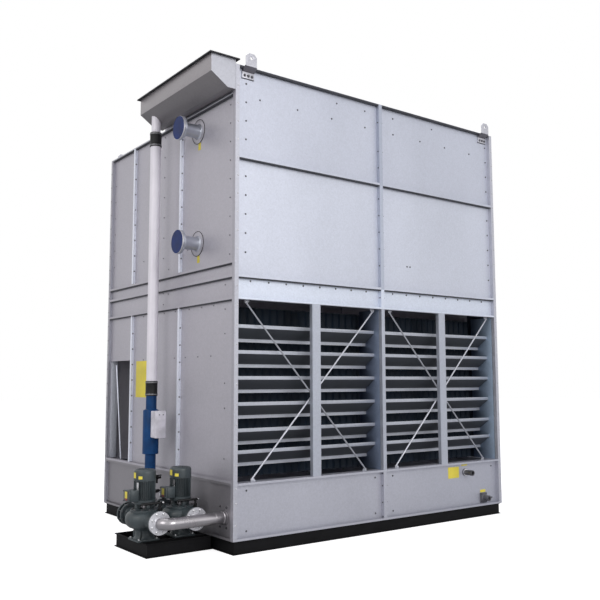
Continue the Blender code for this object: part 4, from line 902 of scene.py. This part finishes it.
# Header hood: outer wall, cut end walls, the sloped underside and the lid
hood_y0, hood_y1 = front, front + 1.501
hood_x = left - hood_out
wall_out = left - 0.0004
run = Vector((hood_floor_out - hood_out, 0.0, hood_knee - hood_low))
walls = []
for y in (hood_y0, hood_y1 - 0.003):
    piece = block("hood_end", (hood_x, y, hood_low), (wall_out, y + 0.003, hood_high))
    cut_off(piece, (left - hood_floor_out, y, hood_low), run.cross(way["y"]))
    walls.append(smooth(soften(piece, 0.0012, 1, 50.0)))
outer_wall = block("hood_wall", (hood_x, hood_y0 + 0.0005, hood_knee),
                   (hood_x + 0.003, hood_y1 - 0.0005, hood_high), 0.001)
fitted(outer_wall, hood_side, "side_zinc", "header_hood")
walls.append(block("hood_back", (left - 0.0034, hood_y0, hood_low), (wall_out, hood_y1, hood_high), 0.001))
fitted(joined("header_hood_walls", walls), hood_end, "side_zinc", "header_hood")
slope = block("hood_slope", (-run.length, hood_y0 + 0.001, 0.0), (0.0, hood_y1 - 0.001, 0.003), 0.001)
slope.rotation_euler.y = math.atan2(run.z, -run.x)
slope.location = (left - hood_floor_out, 0.0, hood_low)
settle(slope)
floor_sheet = block("hood_floor", (left - hood_floor_out, hood_y0 + 0.001, hood_low),
                    (wall_out, hood_y1 - 0.001, hood_low + 0.003), 0.001)
fitted(joined("header_hood_underside", [slope, floor_sheet]), hood_shade, "side_zinc", "header_hood")
lid = block("hood_lid_sheet", (hood_x - 0.03, hood_y0 - 0.03, 4.532), (left + 0.03, hood_y1 + 0.03, 4.545), 0.003)
open_faces(lid, (0, 0, -1))
bpy.ops.mesh.inset(thickness=0.0015)
bpy.ops.mesh.extrude_region_move(TRANSFORM_OT_translate={"value": (0.0, 0.0, 0.011)})
close_faces()
fitted(lid, lid_paint, "lid_dark", "hood_lid")


# Lifting lugs: foot plate, joggled neck and chamfered eye with its hole
def lifting_lug(name, x, side, wall, roof):
    half, eye_half = 0.0675, 0.06
    thick = 0.012
    inner = wall + side * (0.0003 + thick / 2.0)
    low, high = inner - thick / 2.0, inner + thick / 2.0
    foot = block("lug_foot", (x - half, low, roof - 0.105), (x + half, high, roof - 0.038), 0.002)
    neck = folded_strip("lug_neck", x - half, x + half, (inner, roof - 0.041), [(side * 0.058, 0.042)], thick)
    fitted(neck, lug_shade, "dull_zinc")
    y = inner + side * 0.058
    eye = block("lug_eye", (x - eye_half, y - thick / 2.0 + 0.0002, roof - 0.003),
                (x + eye_half, y + thick / 2.0 - 0.0002, roof + 0.124))
    for way_out in (-1.0, 1.0):
        cut_off(eye, (x + way_out * eye_half, y, roof + 0.094), (way_out, 0.0, 1.0))
    drill = turned("drill", (x, y, roof + 0.078), "y", [(0.016, -0.03), (0.016, 0.03)], 40)
    reshape(eye, "BOOLEAN", operation="DIFFERENCE", solver="EXACT", object=drill)
    scrap(drill)
    soften(eye, 0.0015, 2, 50.0)
    fitted(smooth(joined(name + "_plate", [foot, eye])), lug_zinc, "dull_zinc", name)
    spots = grid((x - 0.042, x, x + 0.042), inner + side * thick / 2.0, roof - 0.078)
    set_screws(name + "_bolts", flange_bolt("y", side, 0.011, 0.01), spots, fitting_grey, "dull_zinc")
    # Painted shadow: a thin dark strip under the lug foot stands in for the shadow beneath it.
    low, high = sorted((wall + side * 0.0003, wall + side * 0.008))
    packer = block(name + "_packer", (x - 0.07, low, roof - 0.109), (x + 0.07, high, roof - 0.1052), 0.001)
    fitted(packer, black_rubber, "dull_zinc")


for label, x in (("left", left + 0.158), ("right", right - 0.142)):
    lifting_lug("lifting_lug_front_" + label, x, -1, front + front_rib, high_roof)
    lifting_lug("lifting_lug_rear_" + label, x, 1, back - side_rib, low_roof)

# Basin fittings: threaded stubs, backing plate and blank tags
x, z, wall = left + 3.085, 0.505, front + front_rib
stations = [(0.04, -0.0003), (0.04, -0.006), (0.03, -0.0075), (0.027, -0.012), (0.027, -0.08), (0.0285, -0.082)]
stations += [(0.03, -0.084), (0.03, -0.116), (0.0285, -0.12), (0.0215, -0.12), (0.02, -0.118), (0.02, -0.06)]
stub = turned("makeup_stub", (x, wall, z), "y", stations, 40)
threads = []
for k in range(5):
    groove = [(0.0268, -0.02 - 0.01 * k), (0.0283, -0.023 - 0.01 * k), (0.0268, -0.026 - 0.01 * k)]
    threads.append(turned("thread", (x, wall, z), "y", groove, 40))
fitted(joined("makeup_fitting_stub", [stub] + threads), screw_steel, "fitting_dark", "makeup_fitting")
ring = [(0.0275, -0.0076), (0.037, -0.0076), (0.037, -0.018), (0.029, -0.02), (0.0275, -0.02)]
fitted(turned("makeup_collar", (x, wall, z), "y", ring, 40, ring=True), bright_steel, "pipe_steel")
x, z = left + 3.385, 0.2
plate = block("drain_plate", (x - 0.056, wall - 0.0103, z - 0.056), (x + 0.056, wall - 0.0003, z + 0.056), 0.003)
stations = [(0.046, -0.01), (0.046, -0.02), (0.04, -0.024), (0.03, -0.026), (0.03, -0.062), (0.0325, -0.063)]
stations += [(0.0325, -0.092), (0.03, -0.095), (0.023, -0.095), (0.02, -0.092), (0.02, -0.04)]
stub = turned("drain_stub", (x, wall, z), "y", stations, 40)
fitted(joined("drain_fitting_stub", [plate, stub]), fitting_grey, "fitting_dark", "drain_fitting")
spots = grid((x - 0.044, x + 0.044), wall - 0.0103, (z - 0.044, z + 0.044))
set_screws("drain_plate_bolts", flange_bolt("y", -1, 0.006, 0.004), spots, screw_steel, "fitting_dark")
tags = []
for x0, x1, z0, z1 in ((2.812, 2.988, 0.452, 0.574), (3.03, 3.125, 0.577, 0.603), (3.338, 3.428, 0.26, 0.29)):
    tags.append(block("front_tag", (left + x0, wall - 0.0017, z0), (left + x1, wall - 0.0002, z1), 0.0006))
for y0, y1, z0, z1 in ((0.705, 0.755, 3.848, 3.92), (0.705, 0.755, 2.698, 2.77), (1.845, 2.12, 1.357, 1.757)):
    tags.append(block("wall_tag", (left + 0.0285, front + y0, z0), (left + 0.0298, front + y1, z1), 0.0005))
fitted(joined("blank_tags", tags), tag_yellow, "fitting_dark")

# Access opening: folded jamb and the stay behind it
# The jamb and the stay are in near-white zinc as a painted highlight.
jamb = block("access_jamb", (left + 0.033, front + 2.819, 0.642), (left + 0.115, front + 2.823, 1.775), 0.001)
fitted(jamb, jamb_zinc, "side_zinc")
foot = Vector((left + 0.05, front + 2.53, 0.644))
head = Vector((left + 0.05, front + 2.703, 1.725))
reach = head - foot
stations = [(0.007, 0.0), (0.009, 0.004), (0.009, reach.length - 0.004), (0.007, reach.length)]
stay = turned("access_stay", origin, "z", stations, 20)
stay.rotation_euler.x = -math.atan2(reach.y, reach.z)
stay.location = foot
fitted(stay, seam_edge, "casing_zinc")

# Brace ends: pinch bolts on the small gussets
ends = []
for x0, x1 in ((left + 0.0443, -0.0225), (0.0225, right - 0.0443)):
    ends += [(x0 + 0.116, front + 0.0555, 2.262), (x1 - 0.2, front + 0.0555, 0.634)]
    ends += [(x1 - 0.056, front + 0.0718, 2.262), (x0 + 0.2, front + 0.0718, 0.634)]
set_screws("brace_bolts", screw("y", -1, 0.8), ends, bright_steel)


# Fans: rolled ring on its foot, spider, motor pod, wire guard and swept blades
fan_y = front + 2.1885
deck = 4.2326
ring_top = 4.4476


def lofted_blade(name, stations, thickness):
    loops = []
    for radius, chord, twist in stations:
        bpy.ops.mesh.primitive_plane_add(size=1.0)
        loop = bpy.context.active_object
        loop.scale = (thickness, chord, 1.0)
        settle(loop)
        loop.rotation_euler.y = math.pi / 2.0
        settle(loop)
        loop.rotation_euler.x = math.radians(twist)
        loop.location.x = radius
        loops.append(settle(loop))
    blade = joined(name, loops)
    edit(blade)
    bpy.ops.mesh.delete(type="ONLY_FACE")
    bpy.ops.mesh.select_all(action="SELECT")
    bpy.ops.mesh.bridge_edge_loops(type="SINGLE")
    bpy.ops.mesh.select_all(action="SELECT")
    bpy.ops.mesh.fill_holes(sides=4)
    close_mesh(merge=False)
    return smooth(soften(blade, thickness * 0.3, 2, 60.0))


def wire_ring(centre, radius, wire_radius, sides=64):
    stations = []
    for k in range(6):
        angle = math.radians(60.0 * k)
        stations.append((radius + wire_radius * math.cos(angle), wire_radius * math.sin(angle)))
    return turned("guard_wire", centre, "z", stations, sides, ring=True)


for label, x in (("left", -0.865), ("right", 0.865)):
    spot = (x, fan_y, 0.0)
    stations = [(0.5375, deck), (0.584, deck), (0.5847, deck + 0.001), (0.5847, deck + 0.0035), (0.548, deck + 0.004)]
    stations += [(0.543, deck + 0.006), (0.5415, deck + 0.011), (0.5415, ring_top - 0.02), (0.543, ring_top - 0.016)]
    stations += [(0.547, ring_top - 0.0135), (0.554, ring_top - 0.0125), (0.5585, ring_top - 0.01)]
    stations += [(0.5595, ring_top - 0.006), (0.558, ring_top - 0.0015), (0.554, ring_top), (0.542, ring_top)]
    stations += [(0.5385, ring_top - 0.0015), (0.5375, ring_top - 0.005)]
    ring = turned("fan_ring_wall", spot, "z", stations, 96, ring=True)
    arm = block("spider_arm", (0.05, -0.01, deck + 0.008), (0.5385, 0.01, deck + 0.048), 0.003)
    arms = ringed(arm, spot, (45, 135, 225, 315))
    stations = [(0.05, 4.1706), (0.074, 4.1716), (0.0785, 4.175), (0.08, 4.181), (0.08, 4.2), (0.0765, 4.203)]
    stations += [(0.0765, 4.286), (0.08, 4.289), (0.08, 4.301), (0.078, 4.306), (0.07, 4.3098), (0.03, 4.3106)]
    pod = turned("fan_motor", spot, "z", stations, 48)
    fin = block("pod_fin", (0.074, -0.0015, 4.204), (0.08, 0.0015, 4.285), 0.001)
    fins = ringed(fin, spot, range(0, 360, 15))
    shell = joined("fan_ring_" + label + "_shell", [ring, pod] + arms + fins)
    fitted(shell, dull_zinc, "dull_zinc", "fan_ring_" + label)
    stations = [(0.03, 4.311), (0.084, 4.3112), (0.0885, 4.314), (0.09, 4.319), (0.09, 4.37), (0.087, 4.377)]
    stations += [(0.079, 4.3806), (0.03, 4.3808)]
    hub = turned("fan_hub", spot, "z", stations, 48)
    blade = lofted_blade("fan_blade", [(0.063, 0.075, 32.0), (0.15, 0.148, 28.0), (0.27, 0.163, 24.2),
                                       (0.4, 0.176, 20.1), (0.5, 0.187, 16.9), (0.525, 0.16, 16.0)], 0.006)
    blades = ringed(blade, (x, fan_y, 4.3459), range(0, 360, 60))
    fitted(joined("impeller_" + label + "_wheel", [hub] + blades), dark_paint, "fan_dark", "impeller_" + label)
    guard = [wire_ring((x, fan_y, ring_top + 0.0035), 0.07 + 0.0485 * k, 0.0024) for k in range(11)]
    guard.append(wire_ring((x, fan_y, ring_top + 0.003), 0.556, 0.003, 96))
    spoke = turned("guard_spoke", origin, "x", [(0.003, 0.068), (0.003, 0.558)], 8)
    guard += ringed(spoke, (x, fan_y, ring_top + 0.0075), range(0, 360, 45))
    fitted(joined("fan_guard_" + label, guard), bright_steel, "dull_zinc")
    spots = round_places((x, fan_y, deck + 0.004), "z", 0.566, 20)
    set_screws("fan_ring_screws_" + label, screw("z", 1, 0.9), spots, wall_screw, "dull_zinc")

# Coil: end plates and smooth tubes
coil_y0, coil_y1 = front + 0.1, front + 1.4
plates = []
for x0 in (left + 0.0323, right - 0.0363):
    plates.append(block("coil_plate", (x0, coil_y0, 2.76), (x0 + 0.004, coil_y1, 4.12), 0.001))
tube = turned("coil_tube", origin, "x", [(0.013, left + 0.034), (0.013, right - 0.034)], 20)
spots = []
for row in range(7):
    for k in range(12):
        spots.append((0.0, coil_y0 + 1.3 / 12.0 * (k + 0.25 + 0.5 * (row % 2)), 4.084 - 0.06 * row))
fitted(joined("coil_bundle_tubes", plates + copies(tube, spots)), dull_zinc, "dull_zinc", "coil_bundle")

# Spray branches: pipes with end caps, header and cups
branch_ys = [front + 0.2271 + 0.3636 * k for k in range(4)]
branch_places = grid(0.0, branch_ys, 0.0)
stations = [(0.027, left + 0.0323), (0.03, left + 0.0335), (0.03, left + 0.07), (0.0275, left + 0.072)]
stations += [(0.0275, right - 0.072), (0.03, right - 0.07), (0.03, right - 0.0335), (0.027, right - 0.0323)]
pieces = copies(turned("spray_branch", (0.0, 0.0, spray_z), "x", stations, 28), branch_places)
header_spot = (left + 0.3, 0.0, spray_z)
header = turned("spray_header", header_spot, "y", [(0.027, branch_ys[0]), (0.027, branch_ys[-1])], 28)
stations = [(0.03, -0.045), (0.0315, -0.04), (0.0315, 0.04), (0.03, 0.045)]
pieces += copies(turned("spray_saddle", header_spot, "x", stations, 28), branch_places) + [header]
stations = [(0.018, 0.0), (0.022, 0.002), (0.022, 0.01), (0.017, 0.02), (0.0132, 0.036), (0.0132, 0.06)]
cup = turned("spray_cup", (0.0, 0.0, 4.295), "z", stations, 20)
pieces += copies(cup, [(left + length / 6.0 * (k + 1), y, 0.0) for y in branch_ys for k in range(5)])
fitted(joined("spray_branches_pipes", pieces), white_pipe, "pipe_white", "spray_branches")

# Camera at the height of a standing person, before the pump corner
camera_data = bpy.data.cameras.new("camera")
camera_data.lens = 46.2745
camera_data.sensor_width = 36.0
camera_data.clip_end = 200.0
camera = bpy.data.objects.new("camera", camera_data)
camera.location = (-5.5233, -7.3807, 1.5198)
camera.rotation_euler = (math.radians(96.0745), math.radians(0.1523), math.radians(-36.717))
bpy.context.scene.collection.objects.link(camera)
bpy.context.scene.camera = camera


# Studio: pale floor, white surroundings and three large lamps
def lamp(name, spot, target, size, watts, colour):
    data = bpy.data.lights.new(name, "AREA")
    data.shape = "SQUARE"
    data.size = size
    data.energy = watts
    data.color = colour
    light = bpy.data.objects.new(name, data)
    light.location = spot
    aim = Vector(target) - Vector(spot)
    light.rotation_euler = aim.to_track_quat("-Z", "Y").to_euler()
    bpy.context.scene.collection.objects.link(light)


lamp("front lamp", (-1.0, -14.0, 6.2), (0.3, -1.0, 2.2), 7.0, 790.0, (1.0, 0.99, 0.98))
lamp("side lamp", (-12.5, -3.5, 7.0), (-1.8, 0.0, 2.0), 7.0, 420.0, (1.0, 0.98, 0.96))
lamp("top lamp", (2.0, 5.0, 13.0), (0.0, 0.0, 2.0), 10.0, 620.0, (0.98, 0.99, 1.0))

world = bpy.data.worlds.new("studio")
bpy.context.scene.world = world
world.use_nodes = True
world.node_tree.nodes.clear()
ray = add_node(world, "ShaderNodeLightPath", {}).outputs
seen = ray["Is Camera Ray"]
for other in ("Is Glossy Ray", "Is Transmission Ray"):
    seen = reckon(world, "MAXIMUM", seen, ray[other])
dim = add_node(world, "ShaderNodeBackground", {"Color": (0.93, 0.95, 1.0, 1.0), "Strength": 0.42})
white = add_node(world, "ShaderNodeBackground", {"Color": (1.0, 1.0, 1.0, 1.0), "Strength": 1.0})
mixed = add_node(world, "ShaderNodeMixShader", {"Fac": seen, 1: dim.outputs[0], 2: white.outputs[0]})
add_node(world, "ShaderNodeOutputWorld", {"Surface": mixed.outputs[0]})

bpy.ops.mesh.primitive_circle_add(vertices=64, radius=60.0, fill_type="NGON", location=(0.0, 0.0, -0.0005))
floor = settle(added("floor"))
floor_finish = bpy.data.materials.new("pale floor")
floor_finish.use_nodes = True
floor_finish.node_tree.nodes.clear()
matt = add_node(floor_finish, "ShaderNodeBsdfDiffuse", {"Color": (0.8, 0.8, 0.8, 1.0)})
path = add_node(floor_finish, "ShaderNodeLightPath", {})
lift = reckon(floor_finish, "MULTIPLY", path.outputs["Is Camera Ray"], 0.74)
glow = add_node(floor_finish, "ShaderNodeEmission", {"Color": (1.0, 1.0, 1.0, 1.0), "Strength": lift})
both = add_node(floor_finish, "ShaderNodeAddShader", {0: matt.outputs[0], 1: glow.outputs[0]})
add_node(floor_finish, "ShaderNodeOutputMaterial", {"Surface": both.outputs[0]})
floor.data.materials.append(floor_finish)

bpy.context.scene.view_settings.view_transform = "Standard"
